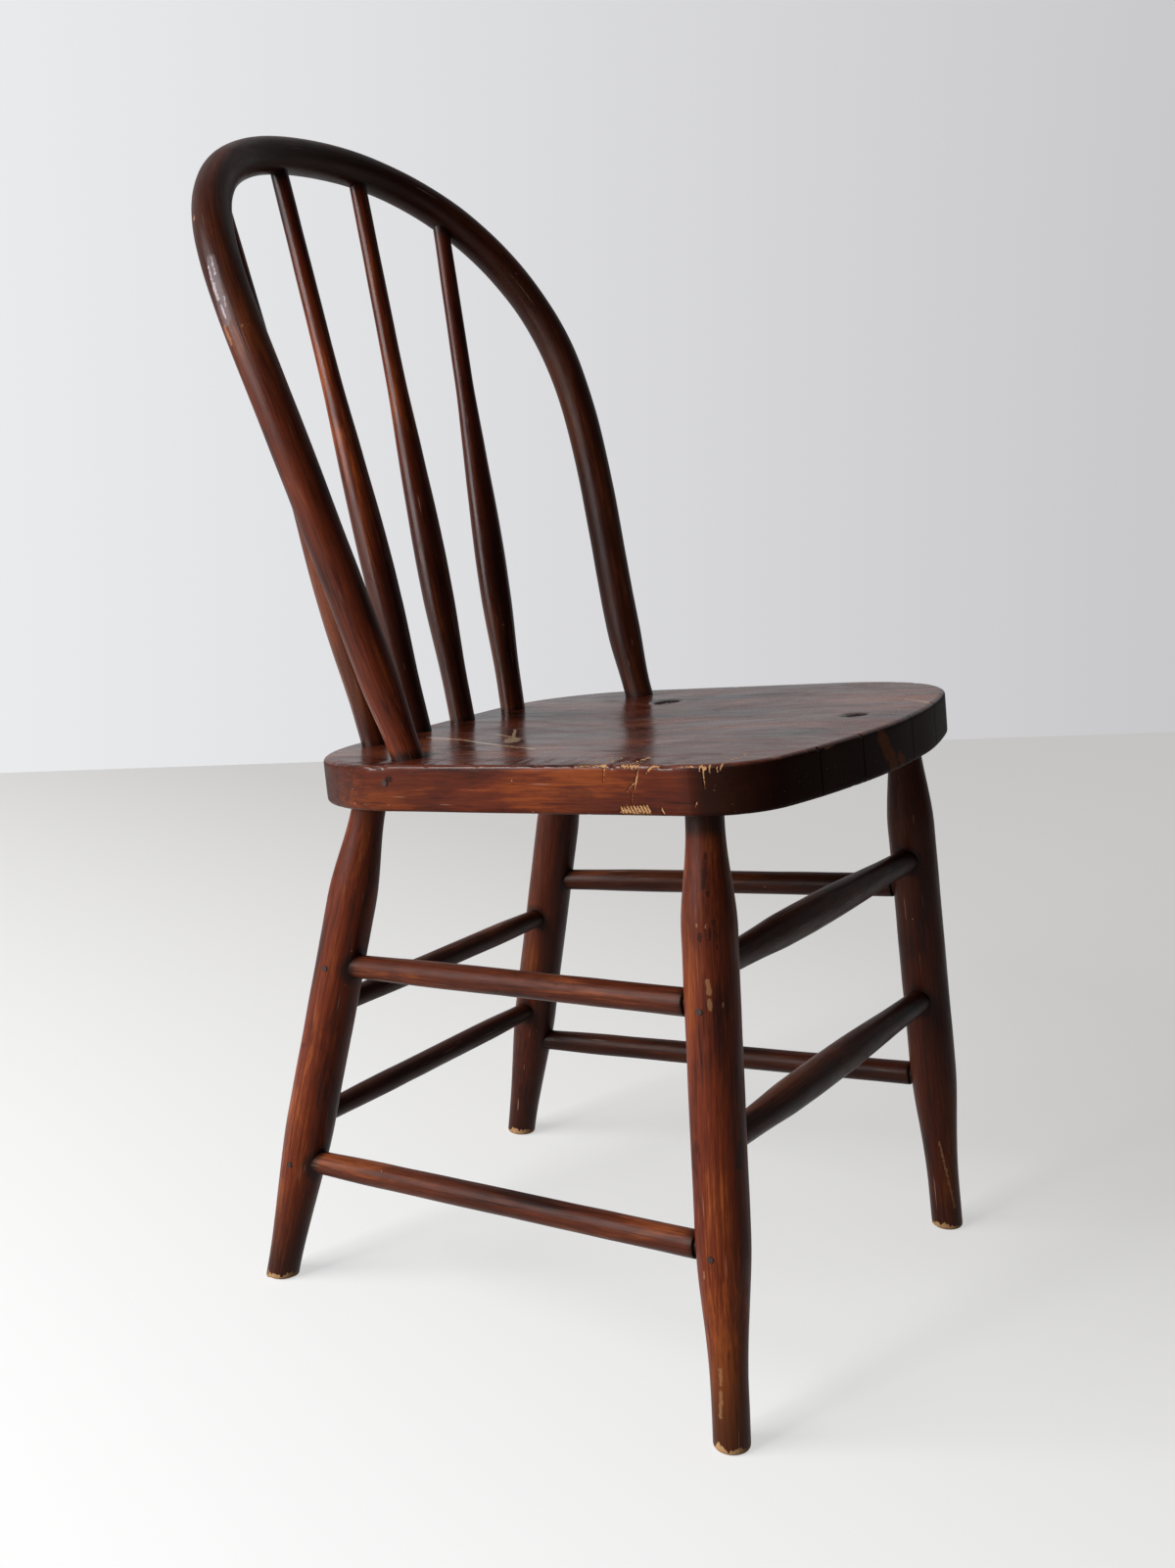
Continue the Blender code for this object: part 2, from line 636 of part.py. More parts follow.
def make_spindles(seat, hoop):
    layout = (("outer_right", -OUTER_SPINDLE_X, OUTER_SPINDLE_Y, -SPINDLE_TOP_OUTER_RIGHT_X),
              ("inner_right", -INNER_SPINDLE_X, INNER_SPINDLE_Y, -SPINDLE_TOP_INNER_RIGHT_X),
              ("inner_left", INNER_SPINDLE_X, INNER_SPINDLE_Y, SPINDLE_TOP_INNER_LEFT_X),
              ("outer_left", OUTER_SPINDLE_X, OUTER_SPINDLE_Y, SPINDLE_TOP_OUTER_LEFT_X))
    for place, x, y, top_x in layout:
        name = "spindle_" + place
        foot = on_seat(x, y)
        top = hoop_point_at_x(top_x)
        direction = (top - foot).normalized()
        length = (top - foot).length
        spindle = turned(name, spindle_stations(length), ROD_SIDES, foot, direction)
        finish_material(spindle, SPINDLE_STAIN)
        cut(seat, socket_cutter(name + "_foot", foot, direction, -SPINDLE_TENON - SOCKET_BOTTOM_GAP,
                                CUT_OVERRUN, SPINDLE_FOOT_RADIUS, ROD_SIDES))
        cut(hoop, socket_cutter(name + "_top", foot, direction, length - 2.0 * HOOP_RADIUS,
                                length + SPINDLE_PAST_HOOP_LINE + SOCKET_BOTTOM_GAP,
                                SPINDLE_TOP_RADIUS, ROD_SIDES))


def make_seat_brads(seat, hoop):
    """Holes for the brads that hold the hoop's feet; returns the brads."""
    brads = []
    for side in (RIGHT, LEFT):
        foot = on_seat(side * HOOP_FOOT_X, HOOP_FOOT_Y)
        down = hoop_foot_direction(side)
        joint = foot - down * (SEAT_BRAD_DEPTH / down.dot(seat_normal()))
        outwards = Vector((side, 0.0, 0.0))
        along_board = joint.y / math.cos(SEAT_TILT)
        surface = seat_side_x(along_board) - abs(joint.x)
        tip = HOOP_FOOT_RADIUS - SEAT_BRAD_BITE
        name = "brad_hoop_" + SIDE_NAMES[side]
        hole = socket_cutter(name, joint, outwards, tip - SOCKET_BOTTOM_GAP,
                             surface + CUT_OVERRUN, BRAD_RADIUS, BRAD_SIDES)
        cut(seat, hole)
        cut(hoop, hole)
        brads.append((name, joint, outwards, tip, surface - BRAD_RECESS))
    return brads


def make_brads(brads):
    """Each brad is a small cylinder of its own."""
    for name, base, direction, start, end in brads:
        bpy.ops.mesh.primitive_cylinder_add(vertices=BRAD_SIDES, radius=BRAD_RADIUS, depth=end - start)
        brad = bpy.context.active_object
        brad.name = name
        brad.data.name = name
        aim(brad, base + direction * (start + end) / 2.0, direction)
        move_to(brad, parts)
        finish_material(brad, BRAD_IRON, metallic=1.0)


clear_scene()
parts = new_collection("farmhouse_chair")
cutters = new_collection("cutters")
plank = make_seat()
chair_legs = make_legs(plank)
make_brads(make_stretchers(chair_legs))
bow = make_hoop(plank)
make_spindles(plank, bow)
make_brads(make_seat_brads(plank, bow))
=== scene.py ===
# Farmhouse chair: the looks. Stained and varnished hardwood, worn by long use.
# Metres, +Z up, the chair faces -Y and its right side is -X.

import math
import random
from functools import partial

import bpy
from mathutils import Matrix, Vector, noise
from mathutils.bvhtree import BVHTree


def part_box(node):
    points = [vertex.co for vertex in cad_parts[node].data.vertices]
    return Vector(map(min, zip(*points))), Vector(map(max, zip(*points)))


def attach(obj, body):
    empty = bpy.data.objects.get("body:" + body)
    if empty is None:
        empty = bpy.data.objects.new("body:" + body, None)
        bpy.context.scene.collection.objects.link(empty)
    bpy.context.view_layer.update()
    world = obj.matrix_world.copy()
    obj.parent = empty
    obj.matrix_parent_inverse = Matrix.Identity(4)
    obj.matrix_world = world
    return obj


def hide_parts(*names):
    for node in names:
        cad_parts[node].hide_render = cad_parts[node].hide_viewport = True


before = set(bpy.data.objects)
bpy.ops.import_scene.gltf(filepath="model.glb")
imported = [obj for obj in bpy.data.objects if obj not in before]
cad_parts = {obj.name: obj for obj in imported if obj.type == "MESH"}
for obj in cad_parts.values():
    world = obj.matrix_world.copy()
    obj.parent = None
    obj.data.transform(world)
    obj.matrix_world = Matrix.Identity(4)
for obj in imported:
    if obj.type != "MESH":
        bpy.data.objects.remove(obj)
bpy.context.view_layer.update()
print("frame loaded:", len(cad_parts), "nodes")

mm = 0.001
hair = 0.0001  # less than this is nothing


def deselectAll():
    for other in list(bpy.context.selected_objects):
        other.select_set(False)


def makeActive(piece):
    deselectAll()
    piece.select_set(True)
    bpy.context.view_layer.objects.active = piece


def applyPlace(piece):
    makeActive(piece)
    bpy.ops.object.transform_apply(location=True, rotation=True, scale=False)


def setMode(mode):
    bpy.ops.object.mode_set(mode=mode)


def pickBy(kind):
    bpy.ops.mesh.select_mode(type=kind)


def selectMesh(action="SELECT"):
    bpy.ops.mesh.select_all(action=action)


def ease(t):
    t = min(max(t, 0.0), 1.0)
    return t * t * (3.0 - 2.0 * t)


def blend(a, b, t):
    return a + (b - a) * t


def bezier(a, b, c, d, t):
    u = 1.0 - t
    return a * u ** 3 + b * (3.0 * u * u * t) + c * (3.0 * u * t * t) + d * t ** 3


def stations(low, high, step):
    # even places along a rod, about a step apart
    count = round((high - low) / step)
    return [blend(low, high, i / count) for i in range(count + 1)]


# Camera

cameraView = {
    "place": (-1.1426, -0.7184, 0.6672),
    "turn": -58.080, "pitch": -12.201, "roll": 0.159,  # degrees, from looking along +Y
    "lens": 41.97, "sensor": 36.0,
}


def makeCamera():
    data = bpy.data.cameras.new("chairCamera")
    data.lens = cameraView["lens"]
    data.sensor_width = cameraView["sensor"]
    camera = bpy.data.objects.new("chairCamera", data)
    bpy.context.scene.collection.objects.link(camera)
    turn = Matrix.Rotation(math.radians(cameraView["turn"]), 4, "Z")
    tip = Matrix.Rotation(math.radians(90.0 + cameraView["pitch"]), 4, "X")
    roll = Matrix.Rotation(math.radians(cameraView["roll"]), 4, "Z")
    camera.matrix_world = Matrix.Translation(cameraView["place"]) @ turn @ tip @ roll
    bpy.context.scene.camera = camera


makeCamera()
print("camera placed")


# What a material reads at each point

def storeNumber(piece, name, values):
    layer = piece.data.attributes.new(name, "FLOAT", "POINT")
    layer.data.foreach_set("value", values)


def storeGrain(piece, number, order=(0, 1, 2)):
    # a point's place in the wood, z along the fibres, kept when the piece is bent or placed;
    # each piece comes from another place in the log, and the pith lies beside it
    place = random.Random(number)
    away = place.uniform(18.0, 45.0) * mm
    turn = place.uniform(0.0, math.tau)
    shift = Vector((away * math.cos(turn), away * math.sin(turn), place.uniform(0.0, 6.0)))
    values = []
    for vertex in piece.data.vertices:
        values += [vertex.co[order[axis]] + shift[axis] for axis in range(3)]
    grain = piece.data.attributes.new("grain", "FLOAT_VECTOR", "POINT")
    grain.data.foreach_set("vector", values)


# Turned pieces

def turnRod(name, outline, sides):
    # outline: (height, radius) from the bottom up, drawn as a line and spun round Z
    deselectAll()
    lastHeight, lastRadius = outline[0][0], 0.0
    bpy.ops.mesh.primitive_plane_add(size=outline[0][1], location=(0.0, 0.0, lastHeight))
    rod = bpy.context.active_object
    rod.name = rod.data.name = name
    applyPlace(rod)
    setMode("EDIT")
    selectMesh()
    bpy.ops.mesh.merge(type="CENTER")
    for height, radius in outline + [(outline[-1][0], 0.0)]:
        step = (radius - lastRadius, 0.0, height - lastHeight)
        bpy.ops.mesh.extrude_region_move(TRANSFORM_OT_translate={"value": step})
        lastHeight, lastRadius = height, radius
    selectMesh()
    bpy.ops.mesh.spin(steps=sides, angle=math.tau, center=(0.0, 0.0, 0.0), axis=(0.0, 0.0, 1.0))
    selectMesh()
    bpy.ops.mesh.remove_doubles(threshold=0.00001)
    bpy.ops.mesh.normals_make_consistent(inside=False)
    setMode("OBJECT")
    return rod


def addUnevenness(piece, size, depth):
    # the slightly lumpy surface that hand sanding and old varnish leave
    texture = bpy.data.textures.new(piece.name + "Lumps", "CLOUDS")
    texture.noise_scale = size
    texture.noise_depth = 1
    lumps = piece.modifiers.new("Lumps", "DISPLACE")
    lumps.texture = texture
    lumps.texture_coords = "LOCAL"
    lumps.strength = depth
    makeActive(piece)
    bpy.ops.object.modifier_apply(modifier="Lumps")


def standUp(piece, foot, top):
    piece.rotation_mode = "QUATERNION"
    piece.rotation_quaternion = (top - foot).to_track_quat("Z", "Y")
    piece.location = foot
    applyPlace(piece)


pieces = []  # in the order of making


def keep(piece, node, slot, material, **numbers):
    # numbers: what the material reads at each point, such as the darkening, which is partly painted shade
    for name, values in numbers.items():
        storeNumber(piece, name, values)
    makeActive(piece)
    bpy.ops.object.shade_smooth_by_angle(angle=math.radians(35.0))
    piece.data.materials.append(material)
    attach(piece, "root")
    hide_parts(node)
    pieces.append(piece)


# Materials

def linear(hexColour):
    channels = [int(hexColour[i:i + 2], 16) / 255.0 for i in (1, 3, 5)]
    return (*(c / 12.92 if c <= 0.04045 else ((c + 0.055) / 1.055) ** 2.4 for c in channels), 1.0)


def setInputs(node, inputs):
    # a node given as a value stands for its first output in use, and text is a hex colour
    for key, value in inputs.items():
        if isinstance(value, bpy.types.Node):
            value = next(output for output in value.outputs if output.enabled)
        if isinstance(value, bpy.types.NodeSocket):
            node.id_data.links.new(value, node.inputs[key])
        else:
            node.inputs[key].default_value = linear(value) if isinstance(value, str) else value


def addNode(tree, kind, inputs=None, **settings):
    node = tree.nodes.new("ShaderNode" + kind)
    for key, value in settings.items():
        setattr(node, key, value)
    setInputs(node, inputs or {})
    return node


def startMaterial(name):
    material = bpy.data.materials.new(name)
    material.use_nodes = True
    tree = material.node_tree
    return material, tree.nodes["Principled BSDF"], partial(addNode, tree)


smoothly = {"interpolation_type": "SMOOTHSTEP"}
inColour = {"data_type": "RGBA"}  # a Mix node then has its two colours at 6 and 7

# Beech and elm, stained red-brown and varnished, then used for a century. The stain is uneven
# and lies dark in the pores, the varnish shines where nothing rubs it. Widths are in mm.
# Marks are strokes in groups of one colour and strength: both ends and half the width, in mm.
legLook = {
    "dark": "#270b05", "middle": "#632711", "light": "#914a21", "raw": "#c7a276",
    "ringWidth": 3.6, "streakWidth": 2.2, "fibreWidth": 0.8, "fibreDark": 0.60, "blotch": 46.0,
    "tone": 0.50, "rough": 0.40, "specular": 0.13, "bump": 0.30, "smears": 0.55,
    "marks": (
        ("#140806", 0.72, (
            (-178, -209.5, 345, -178.1, -211.9, 329, 3), (-183.3, -202.8, 337, -183.3, -202.8, 333, 2.2),
            (-177.7, -204.9, 363, -177.7, -204.9, 361, 1.8),
            (-181.1, -208.8, 341, -181.1, -208.8, 334, 1.5), (-175.3, -201, 386, -177.8, -202.4, 366, 2.6),
            (-191.9, -208.8, 204, -193.3, -210.8, 198, 0.8),
            (-193.3, -210.8, 198, -193.2, -210.9, 191, 0.8), (-178, -232.1, 203, -181.4, -233.5, 191, 5),
            (-189.9, -203.2, 196, -190.8, -205, 185, 2.2), (-165, 138.5, 192, -166.5, 139.5, 186, 2),
        )),
        ("#9c7350", 0.50, (
            (-184.5, -209.6, 308, -184.6, -211.1, 301, 2.6),
            (-184.8, -211.6, 296, -185.5, -212.3, 291, 2.2),
            (-182.8, -200.5, 342.8, -182.8, -200.5, 341.8, 0.9),
            (-181.6, -206.1, 343, -181.6, -206.1, 341, 0.9), (-180.2, -218.6, 294, -180.2, -218.6, 292, 1),
            (-190.5, -217.5, 208.5, -190.6, -217.7, 206.5, 1), (-198.5, -231.2, 57, -199.4, -232, 47, 1.7),
            (-199.6, -232.4, 42, -200.4, -232.8, 25, 2), (-197.6, -217.4, 120, -197.9, -217.9, 116, 1.2),
            (171.5, -233, 78, 182.1, -244.8, 20, 1.5),
        )),
    ),
}
# finer and shinier than the legs, because no shoe rubs them
spindleLook = {
    "dark": "#1f0804", "middle": "#4e1c0a", "light": "#8a4118", "raw": "#b98a5c",
    "ringWidth": 4.5, "streakWidth": 2.2, "fibreWidth": 0.9, "fibreDark": 0.66, "blotch": 90.0,
    "tone": 0.50, "rough": 0.26, "specular": 0.24, "bump": 0.18, "smears": 0.30, "marks": (),
}
# steam-bent, with coarse open grain; at the right bend a grey-blue painted sheen with white streaks of
# painted highlight
hoopLook = {
    "dark": "#280d06", "middle": "#5c2512", "light": "#8e4622", "raw": "#b98a5c",
    "ringWidth": 4.0, "streakWidth": 2.4, "fibreWidth": 0.9, "fibreDark": 0.64, "blotch": 70.0,
    "tone": 0.49, "rough": 0.34, "specular": 0.16, "bump": 0.35, "smears": 0.40,
    "marks": (
        ("#140806", 0.80, (
            (-124.7, 241, 831, -158, 217, 809, 3), (-201.6, 155.6, 729, -201.9, 154.4, 723, 1.2),
            (-197.2, 163.8, 744, -198.2, 162, 738, 0.9),
        )),
        ("#a5704c", 0.55, (
            (-178.5, 203, 783, -177, 199.5, 778, 2.2), (-184.9, 180.5, 769, -181.5, 178.5, 772, 1.2),
            (-163.2, 207.9, 800.6, -155.3, 196.3, 799.4, 0.8),
            (-203.1, 153.1, 706.5, -204, 147.5, 696, 2.6), (-201.5, 139.3, 708, -201.5, 139.3, 706, 1),
            (-198.4, 136.4, 709.2, -198.4, 136.4, 708, 0.7), (-204.6, 112.5, 628, -205.4, 110, 618, 1.8),
        )),
        # painted sheen on the right bend, then white streaks of painted highlight
        ("#6e6064", 0.45, ((-195.7, 171.5, 752, -203.3, 152, 711, 6.5),)),
        ("#c3b6b8", 0.50, (
            (-195.7, 172.9, 747, -198.5, 167.3, 737, 1.2), (-199, 166, 735, -201.3, 160, 725, 2),
            (-202.1, 156.8, 721, -203.3, 151.7, 712.5, 1.3),
            (-200.8, 155.1, 726.5, -202.1, 152.5, 720.7, 0.9),
            (-193.5, 172, 752.7, -197.4, 165.4, 741.5, 0.9),
        )),
    ),
}
# dull and brown, because feet rest on them
stretcherLook = {
    "dark": "#260f08", "middle": "#4f2415", "light": "#7c4023", "raw": "#b98a5c",
    "ringWidth": 3.4, "streakWidth": 2.2, "fibreWidth": 0.9, "fibreDark": 0.60, "blotch": 50.0,
    "tone": 0.50, "rough": 0.36, "specular": 0.11, "bump": 0.28, "smears": 0.40,
    "marks": (
        ("#a5704c", 0.60, ((-64.6, -222, 203.5, -64.6, -222, 202.5, 1.2),)),
    ),
}
# the board's edge, less varnished than its top and nearly matt; end grain hardly shines
seatSideLook = {
    "dark": "#240b05", "middle": "#511f0f", "light": "#763717", "raw": "#c9a172",
    "ringWidth": 7.0, "streakWidth": 3.0, "fibreWidth": 1.0, "fibreDark": 0.70, "blotch": 42.0,
    "tone": 0.50, "rough": 0.34, "specular": 0.09, "bump": 0.16, "smears": 0.45,
    "marks": (
        ("#140806", 0.80, (
            (-190.4, 31.9, 409.6, -190.4, 33.9, 409.2, 3.2), (-187.3, 38.4, 418.2, -188.5, 40, 416, 3.2),
        )),
        ("#7a4420", 0.62, (
            (-58, -266.5, 448, -52, -267.7, 441, 9), (-52, -267.7, 441, -42, -269.2, 428.5, 9.5),
            (-31.5, -268.6, 431, -26, -268.9, 427, 5.5),
        )),
        ("#a5704c", 0.65, (
            (-127.7, -258.6, 451.3, -118, -259.8, 452.3, 1.5),
            (-185.7, 66.5, 387.8, -185.7, 66.5, 387.4, 0.8),
            (-197.8, -219.5, 435.9, -197.8, -219.5, 435.3, 0.9),
        )),
    ),
}
seatEndLook = {**seatSideLook, "rough": 0.46, "specular": 0.05}
# polished by sitting, so it mirrors the room; its marks are given in plan
seatTopLook = {
    "dark": "#220c07", "middle": "#552517", "light": "#80452b", "raw": "#b08a62",
    "ringWidth": 7.0, "streakWidth": 2.8, "fibreWidth": 1.0, "fibreDark": 0.50, "blotch": 48.0,
    "tone": 0.50, "rough": 0.19, "specular": 0.39, "bump": 0.22, "smears": 0.55, "plan": True,
    "marks": (
        ("#0c0605", 0.95, ((1.2, -215.5, 0, 7.8, -226.5, 0, 7.5),)),
        ("#8a6f58", 0.70, ((103, -17, 0, 108, -25, 0, 5),)),
        ("#b3977a", 1.00, (
            (-84, 5, 0, -66, 16, 0, 8.5), (-66, 16, 0, -22, 44, 0, 1.8), (-60, 19, 0, -47, 42, 0, 2.4),
            (-63.6, 93.9, 0, -78.2, 50, 0, 2.6), (-78.2, 50, 0, -100.5, 8.4, 0, 3.2),
            (-100.5, 8.4, 0, -124.7, -41, 0, 2.2),
        )),
        ("#a5704c", 0.75, ((78.1, -227, 0, 64.6, -245, 0, 3), (64.6, -245, 0, 54.5, -255, 0, 4),)),
    ),
}
# what all the wood shares; patterns count how many lie in a metre, so 62 is one each 16 mm
woodFinish = {
    "waver": 18.0, "smear": 62.0, "lump": 130.0, "scratch": 620.0, "markEdge": 420.0, "fleck": 62.5,
    # the dirt colour also serves for painted shade
    "endGrain": "#1c0b06", "dirtAndShade": "#180a06", "rawDark": "#8a5a36", "paint": "#b99f8c",
    "endRough": 0.62, "wornRough": 0.75, "reliefDepth": 0.00045, "markShake": 0.0013,
}


def strokeMask(add, strokes, plan):
    # one where a point of the piece lies on a stroke, ragged at the edges
    place = add("TexCoord").outputs["Object"]
    shake = add("TexNoise", {"Vector": place, "Scale": woodFinish["markEdge"]}).outputs["Color"]
    most = woodFinish["markShake"]
    shift = add("VectorMath", {0: shake, 1: (2.0 * most,) * 3, 2: (-most,) * 3}, operation="MULTIPLY_ADD")
    place = add("VectorMath", {0: place, 1: shift}, operation="ADD")
    if plan:
        place = add("VectorMath", {0: place, 1: (1.0, 1.0, 0.0)}, operation="MULTIPLY")
    mask = 0.0
    for *ends, width in strokes:
        start, end = Vector(ends[:3]) * mm, Vector(ends[3:]) * mm
        stroke = end - start
        share = stroke / max(stroke.length_squared, 1e-9)
        away = add("VectorMath", {0: place, 1: start}, operation="SUBTRACT")
        along = add("VectorMath", {0: away, 1: share}, operation="DOT_PRODUCT")
        inside = add("Clamp", {"Value": along})
        nearest = add("VectorMath", {0: stroke, "Scale": inside}, operation="SCALE")
        gap = add("VectorMath", {0: away, 1: nearest}, operation="DISTANCE")
        spot = add("MapRange", {
            "Value": gap, "From Min": width * 0.4 * mm, "From Max": width * mm,
            "To Min": 1.0, "To Max": 0.0})
        mask = add("Math", {0: spot, 1: mask}, operation="MAXIMUM")
    return mask


def stainedWood(name, look):
    material, shader, add = startMaterial(name)
    grain = add("Attribute", attribute_name="grain").outputs["Vector"]
    grime, wear, soot, endGrain = (
        add("Attribute", attribute_name=layer).outputs["Fac"]
        for layer in ("grime", "wear", "soot", "endGrain"))

    # everything is stretched along the fibres
    streakPlace, blotchPlace, fibrePlace = (
        add("Mapping", {"Vector": grain, "Scale": (1.0, 1.0, stretch)}) for stretch in (0.045, 0.30, 0.030))
    streak = add("TexNoise", {
        "Vector": streakPlace, "Scale": 1.0 / (look["streakWidth"] * mm), "Detail": 4.0, "Roughness": 0.62})
    blotch = add("TexNoise", {
        "Vector": blotchPlace, "Scale": 1.0 / (look["blotch"] * mm),
        "Detail": 5.0, "Roughness": 0.60, "Distortion": 0.4})
    fibre = add("TexNoise", {"Vector": fibrePlace, "Scale": 1.0 / (look["fibreWidth"] * mm)})

    # growth rings round the pith, wavy along the tree
    waver = add("TexNoise", {"Vector": blotchPlace, "Scale": woodFinish["waver"]}).outputs["Color"]
    waver = add("VectorMath", {0: waver, 1: (0.014, 0.014, 0.0)}, operation="MULTIPLY")
    ringPlace = add("VectorMath", {0: grain, 1: waver}, operation="ADD")
    rings = add("TexWave", {"Vector": ringPlace, "Scale": 0.314 / (look["ringWidth"] * mm)},
                wave_type="RINGS", rings_direction="Z", wave_profile="SAW").outputs["Fac"]
    ringTone = add("MapRange", {"Value": rings, "From Min": 0.35, "To Min": 1.0, "To Max": 0.78}, **smoothly)

    # the stain's depth, from dark to light wood
    tone = add("Math", {0: streak, 1: 0.40, 2: -0.20}, operation="MULTIPLY_ADD")
    tone = add("Math", {0: blotch, 1: tone}, operation="ADD")
    middle = look["tone"]
    toMiddle = add("MapRange", {"Value": tone, "From Min": middle - 0.20, "From Max": middle}, **smoothly)
    toLight = add("MapRange", {"Value": tone, "From Min": middle, "From Max": middle + 0.18}, **smoothly)
    colour = add("Mix", {0: toMiddle, 6: look["dark"], 7: look["middle"]}, **inColour)
    colour = add("Mix", {0: toLight, 6: colour, 7: look["light"]}, **inColour)
    fibreTone = add("MapRange", {
        "Value": fibre, "From Min": 0.30, "From Max": 0.52, "To Min": look["fibreDark"], "To Max": 1.06})
    grainTone = add("Math", {0: fibreTone, 1: ringTone}, operation="MULTIPLY")
    colour = add("Mix", {0: 1.0, 6: colour, 7: grainTone}, blend_type="MULTIPLY", **inColour)

    # end grain drinks the stain and goes nearly black
    colour = add("Mix", {0: endGrain, 6: colour, 7: woodFinish["endGrain"]}, **inColour)

    # old polish and dirt, thick in the joints and in odd smears; at the joints it is painted shade as well,
    # and the darkening brings darker stain, dark marks and painted shade
    smear = add("TexNoise", {
        "Vector": blotchPlace, "Scale": woodFinish["smear"],
        "Detail": 6.0, "Roughness": 0.7, "Distortion": 0.6})
    dirtAndShade = add("MapRange", {
        "Value": smear, "From Min": 0.58, "From Max": 0.74, "To Max": look["smears"]}, **smoothly)
    joint = add("Math", {0: smear, 1: 1.1, 2: -0.45}, operation="MULTIPLY_ADD")
    joint = add("Math", {0: grime, 1: joint}, operation="ADD")
    joint = add("MapRange", {"Value": joint, "From Min": 0.30, "From Max": 0.95, "To Max": 0.88}, **smoothly)
    dirtAndShade = add("Math", {0: dirtAndShade, 1: joint}, operation="MAXIMUM")
    dirtAndShade = add("Math", {0: dirtAndShade, 1: soot}, operation="MAXIMUM")
    colour = add("Mix", {0: dirtAndShade, 6: colour, 7: woodFinish["dirtAndShade"]}, **inColour)

    # rubbed through to the wood, ragged along the fibres
    worn = add("Math", {0: streak, 1: smear}, operation="ADD")
    worn = add("Math", {0: worn, 1: 0.9, 2: -0.9}, operation="MULTIPLY_ADD")
    worn = add("Math", {0: wear, 1: worn}, operation="ADD")
    worn = add("MapRange", {"Value": worn, "From Min": 0.48, "From Max": 0.60}, **smoothly)
    raw = add("Mix", {0: fibre, 6: woodFinish["rawDark"], 7: look["raw"]}, **inColour)
    colour = add("Mix", {0: worn, 6: colour, 7: raw}, **inColour)

    # pale flecks of paint here and there, and short scratches
    flecks = add("TexVoronoi", {"Vector": grain, "Scale": woodFinish["fleck"]})
    fleck = add("MapRange", {
        "Value": flecks, "From Min": 0.018, "From Max": 0.036, "To Min": 1.0, "To Max": 0.0})
    chosen = add("Math", {0: flecks.outputs["Color"], 1: 0.58}, operation="GREATER_THAN")
    fleck = add("Math", {0: fleck, 1: chosen}, operation="MULTIPLY")
    scratch = add("TexNoise", {"Vector": fibrePlace, "Scale": woodFinish["scratch"], "Detail": 1.0})
    scratch = add("MapRange", {"Value": scratch, "From Min": 0.735, "From Max": 0.80, "To Max": 0.5})
    scuffs = add("Math", {0: fleck, 1: scratch}, operation="MAXIMUM")
    scuffs = add("Math", {0: scuffs, 1: 0.75}, operation="MULTIPLY")
    colour = add("Mix", {0: scuffs, 6: colour, 7: woodFinish["paint"]}, **inColour)

    # the marks that this chair has, broken up along the fibres
    for markColour, strength, strokes in look["marks"]:
        mask = strokeMask(add, strokes, look.get("plan"))
        mask = add("Math", {0: mask, 1: streak}, operation="MULTIPLY")
        mask = add("MapRange", {"Value": mask, "From Min": 0.18, "From Max": 0.45, "To Max": strength})
        colour = add("Mix", {0: mask, 6: colour, 7: markColour}, **inColour)

    # duller in the smears, on end grain and where it is worn
    rough = add("MapRange", {
        "Value": smear, "From Min": 0.35, "From Max": 0.70,
        "To Min": look["rough"] - 0.05, "To Max": look["rough"] + 0.15})
    rough = add("Mix", {0: endGrain, 2: rough, 3: woodFinish["endRough"]})
    rough = add("Mix", {0: worn, 2: rough, 3: woodFinish["wornRough"]})

    # relief: open fibres, lumps of varnish
    relief = add("TexNoise", {"Vector": blotchPlace, "Scale": woodFinish["lump"], "Detail": 3.0})
    relief = add("Math", {0: relief, 1: 1.4, 2: fibre}, operation="MULTIPLY_ADD")
    relief = add("Math", {0: worn, 1: -1.2, 2: relief}, operation="MULTIPLY_ADD")
    bump = add("Bump", {"Height": relief, "Strength": look["bump"], "Distance": woodFinish["reliefDepth"]})
    setInputs(shader, {"Base Color": colour, "Roughness": rough, "Normal": bump,
                       "IOR": 1.5, "Specular IOR Level": look["specular"]})
    return material


def ironMaterial():
    # forged iron nail heads, rusted brown and dulled by stain
    material, shader, add = startMaterial("rustedIron")
    place = add("TexCoord").outputs["Object"]
    rust = add("TexNoise", {"Vector": place, "Scale": 900.0, "Detail": 4.0})  # grains of 1.1 mm
    colour = add("Mix", {0: rust, 6: "#160b07", 7: "#382015"}, **inColour)
    bump = add("Bump", {"Height": rust, "Strength": 0.4, "Distance": 0.0002})
    setInputs(shader, {"Base Color": colour, "Normal": bump, "Roughness": 0.62, "Metallic": 0.3})
    return material


legWood = stainedWood("stainedBeechLegs", legLook)
spindleWood = stainedWood("stainedBeechSpindles", spindleLook)
hoopWood = stainedWood("stainedElmHoop", hoopLook)
stretcherWood = stainedWood("stainedBeechStretchers", stretcherLook)
seatSideWood = stainedWood("stainedElmSide", seatSideLook)
seatTopWood = stainedWood("polishedElmTop", seatTopLook)
seatEndWood = stainedWood("stainedElmEndGrain", seatEndLook)
nailIron = ironMaterial()
print("materials made")


# Seat: an outline swept through rings, from the rim to the middle of both faces

